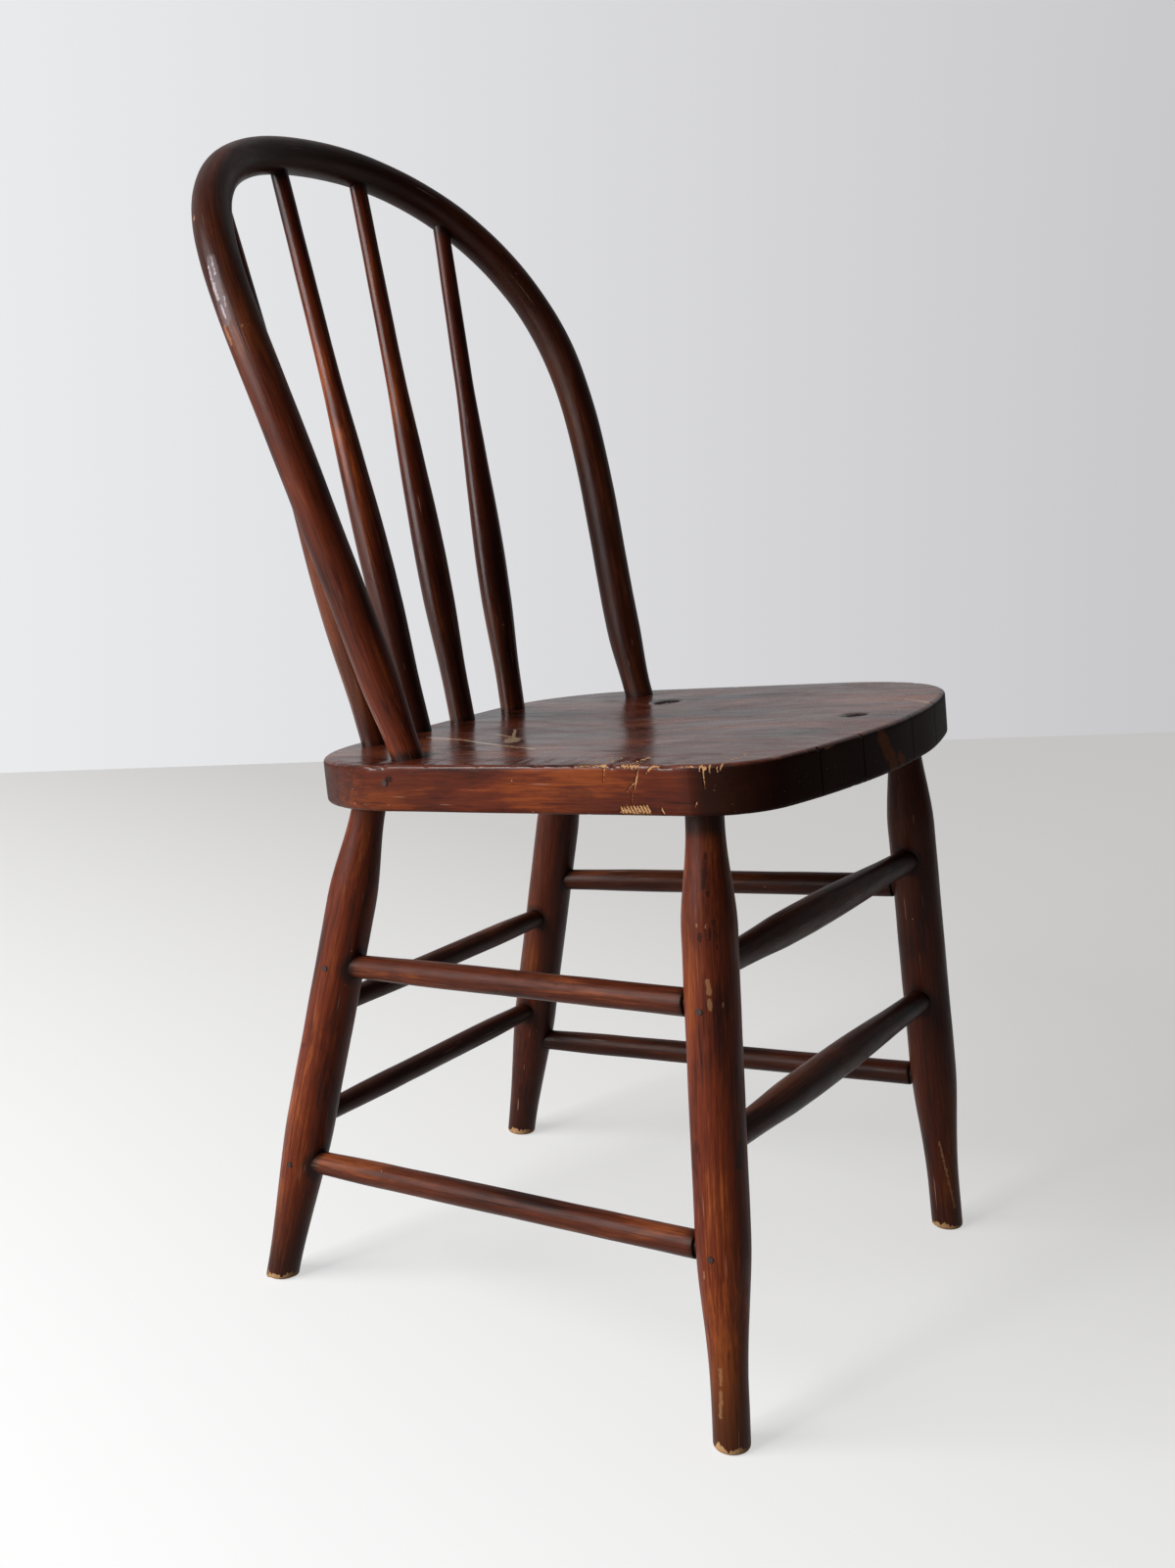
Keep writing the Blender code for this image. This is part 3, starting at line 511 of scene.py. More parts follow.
seatShape = {
    "height": 0.4228, "tilt": math.radians(6.8), "thickness": 0.032,
    "front": 0.268, "back": 0.147, "frontHalf": 0.202, "backHalf": 0.186,
    "frontCrown": 0.041, "frontCrownX": -0.042, "backCrown": 0.002,
    "frontCorner": {-1: 0.038, 1: 0.084}, "backCorner": {-1: 0.100, 1: 0.086},
    "cornerHandle": 0.55, "edgeRound": 0.003,
    "middleY": -0.050, "dishHalfWidth": 0.150, "dishHalfLength": 0.155, "dishDepth": 0.005,
    "around": 640, "sweepRadius": 0.200,
    # rings inwards over a face: the first few, then steps
    "rings": (0.0042, 0.0058, 0.008, 0.011, 0.0145), "ringStep": 0.0062, "ringSteps": 28, "sideRings": 12,
}
seatNormal = Vector((0.0, math.sin(seatShape["tilt"]), math.cos(seatShape["tilt"])))


def onSeat(x, y):
    return Vector((x, y, seatShape["height"] - y * math.tan(seatShape["tilt"])))


def frontY(x):
    return -seatShape["front"] + seatShape["frontCrown"] * (
        (x - seatShape["frontCrownX"]) / seatShape["frontHalf"]) ** 2


def backY(x):
    return seatShape["back"] - seatShape["backCrown"] * (x / seatShape["backHalf"]) ** 2


def sideX(y):
    share = (seatShape["back"] - y) / (seatShape["back"] + seatShape["front"])
    return blend(seatShape["backHalf"], seatShape["frontHalf"], share)


def cornerPoints(start, startWay, end, endWay):
    reach = (end - start).length / math.sqrt(2.0) * seatShape["cornerHandle"]
    first = start + startWay.normalized() * reach
    last = end - endWay.normalized() * reach
    return [bezier(start, first, last, end, i / 24) for i in range(1, 24)]


def halfOutline(side):
    frontCorner, backCorner = seatShape["frontCorner"][side], seatShape["backCorner"][side]
    frontX = side * (seatShape["frontHalf"] - frontCorner)
    backX = side * (seatShape["backHalf"] - backCorner)
    frontXs = [blend(seatShape["frontCrownX"], frontX, i / 24) for i in range(25)]
    front = [Vector((x, frontY(x))) for x in frontXs]
    back = [Vector((x, backY(x))) for x in (blend(0.0, backX, i / 24) for i in range(25))]
    startY = frontY(side * seatShape["frontHalf"]) + frontCorner
    endY = backY(side * seatShape["backHalf"]) - backCorner
    start, end = Vector((side * sideX(startY), startY)), Vector((side * sideX(endY), endY))
    flank = end - start
    points = front + cornerPoints(front[-1], front[-1] - front[-2], start, flank) + [start, end]
    return points + cornerPoints(end, flank, back[-1], back[-2] - back[-1]) + back[::-1]


def evenly(points, count):
    # the closed outline again, as this many points at equal steps
    lengths = [0.0]
    closed = points + [points[0]]
    for a, b in zip(closed, closed[1:]):
        lengths.append(lengths[-1] + (b - a).length)
    result, at = [], 0
    for i in range(count):
        along = lengths[-1] * i / count
        while lengths[at + 1] < along:
            at += 1
        step = lengths[at + 1] - lengths[at]
        result.append(closed[at].lerp(closed[at + 1], (along - lengths[at]) / max(step, 1e-9)))
    return result


def sweepFace(levels):
    # levels: (inset, height) from the rim inwards, starting after the selected ring
    radius = seatShape["sweepRadius"]
    middle = (0.0, seatShape["middleY"], 0.0)
    for (inset, height), (nextInset, nextHeight) in zip(levels, levels[1:]):
        scale = (radius - nextInset) / (radius - inset)
        bpy.ops.mesh.extrude_edges_move(TRANSFORM_OT_translate={"value": (0.0, 0.0, nextHeight - height)})
        bpy.ops.transform.resize(value=(scale, scale, 1.0), center_override=middle)
    bpy.ops.mesh.edge_face_add()


seatWear = {
    # checks in the front edge, from top to underside
    "cracks": (-0.134, -0.084, -0.004, 0.057), "crackHalf": 0.0006, "crackDepth": 0.0022,
    # chips in the right edge: along the board, height, half width, twice, in mm
    "chips": (
        (-122, -0.8, 0.4, -139, -0.7, 0.4), (-139.4, -0.9, 1.1, -142.4, -0.9, 1.1),
        (-141.8, -2, 0.7, -140.2, -10.8, 0.3), (-154.6, -1, 1, -166.4, -1.1, 1.1),
        (-161.6, -1.6, 1.2, -162.4, -3, 0.5), (-167, -3.2, 0.5, -164.8, -9, 1.1),
        (-164.8, -9, 1.1, -162.7, -16.1, 0.35), (-162.8, -11.2, 0.6, -156.7, -16.3, 0.35),
        (-160.7, -16.4, 0.32, -159.8, -24.5, 0.3), (-172.3, -5.1, 0.5, -176.2, -1.4, 1),
        (-176.2, -1.3, 0.9, -181.2, -0.9, 0.8), (-200, -1.3, 0.3, -206, -1.2, 0.6),
        (-210.6, -1, 0.6, -210.7, -3.4, 0.4), (-211.8, -1, 1, -214.2, -2.2, 1.3),
        (-213, -2.5, 0.8, -213.1, -14.1, 0.35), (-216.8, -1, 0.9, -217, -5.4, 0.5),
        (-221.4, -2, 0.7, -221.6, -4.8, 0.4), (-223.8, -1, 1, -223.4, -4, 0.5),
        (-206.9, -22.3, 0.35, -205.9, -25.9, 0.6), (-180.9, -27.1, 0.4, -182.7, -30.8, 0.9),
        (-152.6, -29.2, 3.2, -170.6, -28.8, 3.8),
    ),
    "comb": 1.3, "chipDepth": 0.0007, "splinters": -24.0,
    # dents in the right edge's rim: along the board, half length, depth in mm
    "dents": (
        (-187, 11, 1.1), (47.5, 7, 0.9), (38.5, 2.5, 1), (-71.6, 1.4, 0.7), (-88.5, 1.8, 0.8),
        (-93.3, 1.4, 0.6), (-107, 1.8, 0.6), (-118, 1.5, 0.5), (2, 2.2, 0.5), (-40, 2.6, 0.4),
        (-147.5, 3, 0.7), (92, 5, 0.5),
    ),
    "rimWidth": 4.5, "nickSize": 0.9,
    "fineFrom": -0.232, "fineTo": -0.117, "fineCuts": 4,
    # knots in the top, sunk a little: x, y, radius, depth in mm, and the pale part of one
    "knots": ((4.5, -221, 12.5, 1.3), (111, -12, 16, 1.3)), "knotCuts": 3, "paleKnot": (104, -20, 11),
    # how much the rims are rubbed, at the front more, and how dark knots, dents and the rear get
    "rubbed": 0.24, "rubbedFront": 0.26, "rubbedMost": 0.42,
    "knotDark": 0.95, "dentDark": 0.6, "rearDark": 0.40, "endGrain": 0.94, "endGrainRear": 0.45,
}


def addCrackPoints(outline):
    # three columns of points at each check, so that it can be a groove
    half = seatWear["crackHalf"]
    outline = [point for point in outline if point.y > -0.2 or all(
        abs(point.x - crack) > 2.0 * half for crack in seatWear["cracks"])]
    result = []
    for point, following in zip(outline, outline[1:] + outline[:1]):
        result.append(point)
        low, high = sorted((point.x, following.x))
        for crack in seatWear["cracks"]:
            if point.y < -0.2 and low < crack <= high:
                columns = [crack - half, crack, crack + half]
                if following.x < point.x:
                    columns.reverse()
                result += [point.lerp(following, (x - point.x) / (following.x - point.x)) for x in columns]
    return result


def fromPlace(place, x, y):
    return math.hypot(place.x / mm - x, place.y / mm - y)


def knotDepth(place, beyond=0.0):
    # how deep a point of the top sinks at a knot, in mm; beyond widens the knots
    return max(depth * ease(1.6 * (1.0 - fromPlace(place, x, y) / (radius + beyond)))
               for x, y, radius, depth in seatWear["knots"])


def inPaleKnot(place):
    x, y, radius = seatWear["paleKnot"]
    return fromPlace(place, x, y) < radius


def refine(piece, cuts, chosen):
    makeActive(piece)
    setMode("EDIT")
    pickBy("FACE")
    selectMesh("DESELECT")
    setMode("OBJECT")
    for polygon in piece.data.polygons:
        polygon.select = chosen(polygon.center)
    setMode("EDIT")
    bpy.ops.mesh.subdivide(number_cuts=cuts)
    pickBy("VERT")
    setMode("OBJECT")


def makeSeat():
    outline = addCrackPoints(evenly(halfOutline(1) + halfOutline(-1)[-2:0:-1], seatShape["around"]))
    roundOff, thickness = seatShape["edgeRound"], seatShape["thickness"]
    deselectAll()
    bpy.ops.mesh.primitive_circle_add(vertices=len(outline), radius=seatShape["sweepRadius"])
    seat = bpy.context.active_object
    seat.name = "seatPlank"
    for vertex, place in zip(seat.data.vertices, outline):
        vertex.co = (place.x, place.y, -roundOff)
    corner = []
    for i in range(1, 5):
        turn = math.pi / 2 * i / 4
        corner.append((roundOff * (1 - math.cos(turn)), roundOff * (math.sin(turn) - 1)))
    insets = list(seatShape["rings"])
    insets += [insets[-1] + seatShape["ringStep"] * i for i in range(1, seatShape["ringSteps"] + 1)]
    topLevels = [(0.0, -roundOff)] + corner + [(inset, 0.0) for inset in insets]
    side, sideRings = thickness - 2 * roundOff, seatShape["sideRings"]
    underLevels = [(0.0, -roundOff - side * i / sideRings) for i in range(sideRings + 1)]
    underLevels += [(inset, -thickness - height) for inset, height in corner]
    underLevels += [(inset, -thickness) for inset in insets[2::2]]
    makeActive(seat)
    setMode("EDIT")
    selectMesh()
    sweepFace(topLevels)
    selectMesh("DESELECT")
    pickBy("EDGE")
    bpy.ops.mesh.select_non_manifold()
    sweepFace(underLevels)
    pickBy("VERT")
    selectMesh()
    bpy.ops.mesh.normals_make_consistent(inside=False)
    selectMesh("DESELECT")
    setMode("OBJECT")
    # the chipped stretch of the right edge gets finer faces, and so do the knots
    refine(seat, seatWear["fineCuts"], lambda middle: middle.x < -0.1875 and (
        seatWear["fineFrom"] < middle.y < seatWear["fineTo"]))
    refine(seat, seatWear["knotCuts"], lambda middle: middle.z > -hair and knotDepth(middle, 5.0) > 0.0)
    return seat


def inChip(y, z):
    # how far a point of the right edge, in mm, lies inside a chip: 0 to 1
    z += seatWear["comb"] * noise.noise(Vector((y * 0.9, z * 0.12, 0.0)))
    spike = 1.0
    if z < seatWear["splinters"]:
        # the splintered lower edge ends in spikes with gaps
        spike = abs(math.sin(1.25 * (y - 0.45 * z)))
        z -= 3.4 * (spike - 0.6)
    y += 0.35 * noise.noise(Vector((y * 0.8, z * 0.5, 7.0)))
    most = 0.0
    for startY, startZ, startHalf, endY, endZ, endHalf in seatWear["chips"]:
        strokeY, strokeZ = endY - startY, endZ - startZ
        along = ((y - startY) * strokeY + (z - startZ) * strokeZ) / (strokeY ** 2 + strokeZ ** 2)
        along = min(max(along, 0.0), 1.0)
        away = math.hypot(y - startY - along * strokeY, z - startZ - along * strokeZ)
        most = max(most, 1.0 - away / blend(startHalf, endHalf, along))
    return ease(most / 0.45) * ease(spike / 0.55)


def inDent(y, z):
    # how deep the rim of the right edge is knocked in, in mm
    deep = max(depth * ease(1.0 - abs(y - at) / half) for at, half, depth in seatWear["dents"])
    return deep * ease(1.0 + z / seatWear["rimWidth"])


def wearSeat(seat):
    # dish, uneven sides, knocked rims, chips and checks, in the board's own frame
    middleY = seatShape["middleY"]
    wear, soot, endGrain = [], [], []
    normals = [vertex.normal.copy() for vertex in seat.data.vertices]
    for vertex, normal in zip(seat.data.vertices, normals):
        x, y, z = vertex.co
        fromMiddle = math.hypot(x / seatShape["dishHalfWidth"], (y - middleY) / seatShape["dishHalfLength"])
        outwards = Vector((x, y - middleY, 0.0))
        if math.hypot(normal.x, normal.y) > 0.3:
            outwards = Vector((normal.x, normal.y, 0.0))
        outwards.normalize()
        toTop, toUnder = -z / mm, (z + seatShape["thickness"]) / mm
        outer = z < -hair or abs(x) > 0.17 or y < -0.22 or y > 0.12
        onEdge = 1.0 if fromMiddle > 1.0 and outer else 0.0
        if z > -hair:
            knot = knotDepth(vertex.co) * (1.0 + 0.5 * noise.noise(vertex.co * 500.0))
            z -= seatShape["dishDepth"] * (1.0 - ease(fromMiddle)) + knot * mm
        inwards = -0.0007 * noise.noise(Vector((x, y, z)) * 22.0)

        # small nicks all round both rims
        nearRim = onEdge * ease(1.0 - min(toTop, toUnder) / seatWear["rimWidth"])
        nick = noise.noise(Vector((x * 160.0, y * 160.0, z * 40.0))) - 0.30
        nick = max(0.0, nick) * nearRim * seatWear["nickSize"]
        chip = dent = crack = 0.0
        if x < -0.15:
            chip = inChip(y / mm, -toTop) * onEdge if -0.24 < y < -0.11 else 0.0
            dent = inDent(y / mm, -toTop) * onEdge
        if y < -0.2 and fromMiddle > 1.0:
            nearest = min(abs(x - place) for place in seatWear["cracks"])
            crack = max(0.0, 1.0 - nearest / seatWear["crackHalf"])
        inwards += (nick + dent) * mm + chip * seatWear["chipDepth"] + crack * seatWear["crackDepth"]
        drop = (nick + dent) * mm * nearRim * (0.8 if toTop < toUnder else -0.5)
        if z > -hair and crack > 0.0:
            inwards = 0.0
        vertex.co = Vector((x, y, z)) - outwards * inwards * onEdge - Vector((0.0, 0.0, drop))

        front, back = -outwards.y, outwards.y
        rimTop = onEdge * ease(1.0 - toTop / 2.2) * ease(1.8 * (1.0 - normal.z))
        atFront = ease((front - 0.3) / 0.3)
        rubbed = rimTop * (seatWear["rubbed"] + seatWear["rubbedFront"] * atFront) + 0.5 * nick
        wear.append(max(chip, min(rubbed, seatWear["rubbedMost"])))
        bruise = ease(dent / 0.5) * ease((toTop - 1.0) / 1.5) * ease((5.0 - toTop) / 2.0)
        rear = onEdge * ease((y - 0.01) / 0.10) * ease(toTop / 2.0)
        onKnot = z > -0.02 and normal.z > 0.9 and not inPaleKnot(vertex.co)
        knot = ease(2.0 * knotDepth(vertex.co)) if onKnot else 0.0
        # inside the checks the wood is painted dark, as dirt and painted shade
        soot.append(max(crack, seatWear["dentDark"] * bruise, seatWear["rearDark"] * rear,
                        seatWear["knotDark"] * knot))
        side = onEdge * ease((toTop - 0.6) / 1.6)
        # on the right the corner is tight, and the end grain starts a little before it
        if x < -0.15:
            front = max(front, 0.12 + 0.23 * (-0.190 - y) / 0.024)
        endGrain.append(side * max(seatWear["endGrain"] * ease((front - 0.12) / 0.23),
                                   seatWear["endGrainRear"] * ease((back - 0.35) / 0.35)))
    storeNumber(seat, "wear", wear)
    storeNumber(seat, "soot", soot)
    storeNumber(seat, "endGrain", endGrain)
    return endGrain


def finishSeat(seat, endGrain):
    # the polished top runs over the rim, the end grain and the knots are matt
    for wood in (seatTopWood, seatEndWood):
        seat.data.materials.append(wood)
    for polygon in seat.data.polygons:
        middle = polygon.center
        if polygon.normal.z > 0.4:
            inKnot = knotDepth(middle) > 0.6 * seatWear["knots"][0][3] and not inPaleKnot(middle)
            polygon.material_index = 2 if inKnot else 1
        elif sum(endGrain[v] for v in polygon.vertices) > 0.5 * len(polygon.vertices):
            polygon.material_index = 2


seat = makeSeat()
print("seat swept:", len(seat.data.polygons), "faces")
endGrain = wearSeat(seat)
storeGrain(seat, 3, order=(0, 2, 1))
seat.rotation_euler.x = -seatShape["tilt"]
seat.location = onSeat(0.0, 0.0)
applyPlace(seat)
keep(seat, "seat", "seat_wood", seatSideWood)
finishSeat(seat, endGrain)


# Legs

legShape = {
    "front": {"foot": (0.190, -0.2365), "top": (0.1575, -0.1885), "straight": 0.035, "toSwell": 0.145},
    "back": {"foot": (0.1645, 0.1665), "top": (0.129, 0.089), "straight": 0.005, "toSwell": 0.130},
    "footRadius": 0.0123, "swellRadius": 0.018, "neckRadius": 0.0124,
    "neckLength": 0.010, "neckToSwell": 0.080, "tenon": 0.022, "trim": 0.008,
    "footRound": 0.0028, "sides": 56, "step": 0.006,
    "bareHeight": 0.0052, "ringHeight": 0.396, "ringDark": 0.85,
    # the neck values paint shade on every leg just under the seat, the foot values darken the feet near the
    # floor
    "neckShade": 0.30, "neckShadeFrom": 0.29, "footDark": 0.80, "footDarkHeight": 0.110,
    # how much darker each leg is: partly darker stain, partly painted shade on the two left legs, which
    # stand away from the window
    "darker": {("front", -1): 0.0, ("back", -1): 0.04, ("front", 1): 0.62, ("back", 1): 0.55},
}
sideNames = {-1: "right", 1: "left"}


class LegLine:
    # a leg's axis, from the floor to the seat's top plane
    def __init__(self, end, side):
        shape = legShape[end]
        self.foot = Vector((side * shape["foot"][0], shape["foot"][1], 0.0))
        self.top = onSeat(side * shape["top"][0], shape["top"][1])
        self.way = (self.top - self.foot).normalized()
        inSeat = seatShape["thickness"] / self.way.dot(seatNormal)
        self.underside = (self.top - self.foot).length - inSeat
        self.swell = shape["straight"], shape["toSwell"]

    def at(self, height):
        return self.foot + self.way * (height / self.way.z)

    def radius(self, along):
        starts, full = self.swell
        rise = ease((along - starts) / (full - starts))
        below = self.underside - along
        fall = ease((legShape["neckToSwell"] - below) / (legShape["neckToSwell"] - legShape["neckLength"]))
        lower = blend(legShape["footRadius"], legShape["swellRadius"], rise)
        return min(lower, blend(legShape["swellRadius"], legShape["neckRadius"], fall))


def legWearAndShade(place, end, side):
    # bare wood at the foot's ragged rim, then how dark a point is: the band under the seat, the darker feet,
    # painted shade just under the seat, and each leg's own darkening, which on the left legs is partly
    # painted shade
    x, y, z = place
    ragged = 0.9 * noise.noise(Vector((x, y, 0.0)) * 170.0)
    ragged += 0.7 * noise.noise(Vector((x, y, 1.0)) * 430.0)
    wear = 0.75 * ease(1.6 - z / (legShape["bareHeight"] * (1.0 + ragged)))
    ring = ease((z - legShape["ringHeight"]) / 0.0022) if (end, side) == ("front", -1) else 0.0
    foot = ease(1.0 - z / legShape["footDarkHeight"])
    neck = ease((z - legShape["neckShadeFrom"]) / 0.07)
    return wear, max(legShape["ringDark"] * ring, legShape["footDark"] * foot, legShape["neckShade"] * neck,
                     legShape["darker"][end, side])


def makeLeg(end, side, number):
    line = LegLine(end, side)
    name = f"leg_{end}_{sideNames[side]}"
    heights = stations(-legShape["trim"], line.underside + legShape["tenon"], legShape["step"])
    heights = sorted(heights + [0.0035 + 0.002 * i for i in range(8)])  # finer at the foot
    leg = turnRod("turned_" + name, [(h, line.radius(h)) for h in heights], legShape["sides"])
    addUnevenness(leg, 0.05, 0.0007)
    storeGrain(leg, number)
    standUp(leg, line.foot, line.top)
    setMode("EDIT")
    selectMesh()
    bpy.ops.mesh.bisect(plane_co=(0.0, 0.0, 0.0), plane_no=(0.0, 0.0, 1.0), use_fill=True, clear_inner=True)
    selectMesh("DESELECT")
    setMode("OBJECT")
    for edge in leg.data.edges:
        edge.select = all(abs(leg.data.vertices[v].co.z) < 0.1 * hair for v in edge.vertices)
    setMode("EDIT")
    pickBy("EDGE")
    bpy.ops.mesh.bevel(offset=legShape["footRound"], segments=4, profile=0.5)
    pickBy("VERT")
    setMode("OBJECT")
    wear, soot = zip(*(legWearAndShade(vertex.co, end, side) for vertex in leg.data.vertices))
    keep(leg, name, "leg_wood", legWood, wear=wear, soot=soot)
    return line


legs = {}
for number, (end, side) in enumerate((("front", -1), ("front", 1), ("back", -1), ("back", 1))):
    legs[end, side] = makeLeg(end, side, 11 + number)
print("legs turned")


# Stretchers

stretcherShape = {
    "side": {"radius": 0.0093, "end": 0.0086, "tapers": (0.060, 0.060)},
    "front": {"radius": 0.0122, "end": 0.0094, "tapers": (0.105, 0.165)},
    "back": {"radius": 0.0086, "end": 0.0078, "tapers": (0.060, 0.060)},
    "tenonRadius": 0.0072, "pastAxis": 0.002, "shoulderRound": 0.0012, "fit": 0.0003,
    "heights": {"front_stretcher_upper": 0.3105, "front_stretcher_lower": 0.1965,
                "back_stretcher_upper": 0.2185, "back_stretcher_lower": 0.1280},
    "sideHeights": {"upper": (0.2875, 0.2510), "lower": (0.1295, 0.0955)},
    "sides": 40, "step": 0.006, "darker": 0.50,
}


def makeStretcher(name, first, last, kind, number):
    # a side stretcher has a shoulder and a thin tenon at the front leg
    shape = stretcherShape[kind]
    shoulder = kind == "side"
    length = (last - first).length
    bodyStart, bodyEnd = legShape["swellRadius"], length - legShape["swellRadius"]
    past = stretcherShape["pastAxis"]

    def radius(along):
        fromStart = ease((along - bodyStart) / shape["tapers"][0])
        fromEnd = ease((bodyEnd - along) / shape["tapers"][1])
        return blend(shape["end"], shape["radius"], fromEnd if shoulder else min(fromStart, fromEnd))

    outline, start = [], -past
    if shoulder:
        face, thin = bodyStart + stretcherShape["fit"], stretcherShape["tenonRadius"]
        roundOff = stretcherShape["shoulderRound"]
        outline += [(-past, thin), (face, thin)]
        for turn in (0.0, math.pi / 6, math.pi / 3, math.pi / 2):
            rim = shape["radius"] - roundOff * (1 - math.sin(turn))
            outline.append((face + roundOff * (1 - math.cos(turn)), rim))
        start = outline[-1][0] + 0.002
    outline += [(along, radius(along)) for along in stations(start, length + past, stretcherShape["step"])]
    stretcher = turnRod("rod_" + name, outline, stretcherShape["sides"])
    addUnevenness(stretcher, 0.045, 0.0006)
    storeGrain(stretcher, number)
    standUp(stretcher, first, last)
    # all but the two on the right are made darker
    darker = 0.0 if shoulder and name.endswith("right") else stretcherShape["darker"]
    keep(stretcher, name, "stretcher_wood", stretcherWood, soot=[darker] * len(stretcher.data.vertices))


number = 21
for name, height in stretcherShape["heights"].items():
    end = name.split("_")[0]
    makeStretcher(name, legs[end, -1].at(height), legs[end, 1].at(height), end, number)
    number += 1
for side in (-1, 1):
    for level, (frontHeight, backHeight) in stretcherShape["sideHeights"].items():
        first, last = legs["front", side].at(frontHeight), legs["back", side].at(backHeight)
        makeStretcher(f"side_stretcher_{level}_{sideNames[side]}", first, last, "side", number)
        number += 1
print("stretchers turned")


# Hoop: a straight rod, turned, then bent along its line

hoopShape = {
    "radius": 0.0138, "footRadius": 0.0112, "footX": 0.158, "footY": 0.041,
    "splay": math.radians(4.0), "rake": math.radians(21.5), "footHandle": 0.095,
    "widest": (0.1914, 0.138, 0.687), "widestRake": math.radians(26.4),
    "lowerHandle": 0.086, "upperHandle": 0.098,
    "top": (0.2528, 0.8408), "topHandle": 0.1395,
    "tenon": 0.024, "footStraight": 0.005, "footTaper": 0.055, "sides": 48, "step": 0.005,
    # how much darker the top and the left side are, and where that begins and is full
    "darker": 0.74, "darkFrom": 0.60, "darkFull": 0.75,
}


def hoopLine(side):
    # foot, widest point and top of one side, each with its handles
    foot = onSeat(side * hoopShape["footX"], hoopShape["footY"])
    rise = Vector((side * math.tan(hoopShape["splay"]), math.tan(hoopShape["rake"]), 1.0)).normalized()
    widest = Vector((side * hoopShape["widest"][0], *hoopShape["widest"][1:]))
    lean = Vector((0.0, math.sin(hoopShape["widestRake"]), math.cos(hoopShape["widestRake"])))
    top = Vector((0.0, *hoopShape["top"]))
    across = Vector((side * hoopShape["topHandle"], 0.0, 0.0))
    return foot, rise, widest, lean, top, across


def makeHoopLine():
    knots = []
    for side in (-1, 1):
        foot, rise, widest, lean, top, across = hoopLine(side)
        below = foot - rise * hoopShape["tenon"]
        third = rise * (hoopShape["tenon"] / 3)
        lower, upper = lean * hoopShape["lowerHandle"], lean * hoopShape["upperHandle"]
        branch = [(below, below - third, below + third),
                  (foot, foot - third, foot + rise * hoopShape["footHandle"]),
                  (widest, widest - lower, widest + upper)]
        if side == -1:
            knots = branch + [(top, top + across, top - across)]
        else:
            knots += [(point, after, before) for point, before, after in reversed(branch)]
    deselectAll()
    bpy.ops.curve.primitive_bezier_curve_add()
    line = bpy.context.active_object
    line.data.dimensions = "3D"
    line.data.resolution_u = 48
    spline = line.data.splines[0]
    spline.bezier_points.add(len(knots) - 2)
    for point, (place, before, after) in zip(spline.bezier_points, knots):
        point.handle_left_type = point.handle_right_type = "FREE"
        point.co, point.handle_left, point.handle_right = place, before, after
    return line


def makeHoop():
    line = makeHoopLine()
    length = line.data.splines[0].calc_length(resolution=200)

    def radius(along):
        aboveSeat = min(along, length - along) - hoopShape["tenon"] - hoopShape["footStraight"]
        return blend(hoopShape["footRadius"], hoopShape["radius"], ease(aboveSeat / hoopShape["footTaper"]))

    outline = [(along, radius(along)) for along in stations(0.0, length, hoopShape["step"])]
    hoop = turnRod("bent_hoop", outline, hoopShape["sides"])
    addUnevenness(hoop, 0.06, 0.0008)
    storeGrain(hoop, 41)
    bend = hoop.modifiers.new("Bend", "CURVE")
    bend.object = line
    bend.deform_axis = "POS_Z"
    makeActive(hoop)
    bpy.ops.object.modifier_apply(modifier="Bend")
    bpy.data.objects.remove(line, do_unlink=True)
    soot = []
    for vertex in hoop.data.vertices:
        rise = (vertex.co.z - hoopShape["darkFrom"]) / (hoopShape["darkFull"] - hoopShape["darkFrom"])
        soot.append(hoopShape["darker"] * max(ease(rise), ease(vertex.co.x / 0.10)))
    keep(hoop, "hoop", "hoop_wood", hoopWood, soot=soot)


makeHoop()
print("hoop bent")


# Spindles

spindleShape = {
    "feet": {"outer": (0.091, 0.123), "inner": (0.029, 0.1295)},
    "tops": {"outer_right": -0.136, "inner_right": -0.0365, "inner_left": 0.0555, "outer_left": 0.132},
    "footRadius": 0.0100, "swellRadius": 0.0124, "slimRadius": 0.0074, "topRadius": 0.0065,
    "tenon": 0.020, "pastLine": 0.003,
    "swellStarts": 0.06, "swellFull": 0.23, "swellLeft": 0.28, "swellGone": 0.70,
    # darker, darkFrom and darkFull paint shade towards the seat, where the spindles get little light
    "sides": 40, "step": 0.006, "darker": 0.62, "darkFrom": 0.64, "darkFull": 0.46,
}


def hoopPointAtX(x):
    widest, lean, top, across = hoopLine(1)[2:]
    arch = (widest, widest + lean * hoopShape["upperHandle"], top + across, top)
    low, high = 0.0, 1.0
    for _ in range(40):
        middle = (low + high) / 2
        if bezier(*arch, middle).x > abs(x):
            low = middle
        else:
            high = middle
    point = bezier(*arch, low)
    return Vector((x, point.y, point.z))


def spindleRadius(share):
    shape = spindleShape
    if share < shape["swellLeft"]:
        rise = (share - shape["swellStarts"]) / (shape["swellFull"] - shape["swellStarts"])
        return blend(shape["footRadius"], shape["swellRadius"], ease(rise))
    if share < shape["swellGone"]:
        fall = (share - shape["swellLeft"]) / (shape["swellGone"] - shape["swellLeft"])
        return blend(shape["swellRadius"], shape["slimRadius"], ease(fall))
    slim = (share - shape["swellGone"]) / (1 - shape["swellGone"])
    return blend(shape["slimRadius"], shape["topRadius"], slim)


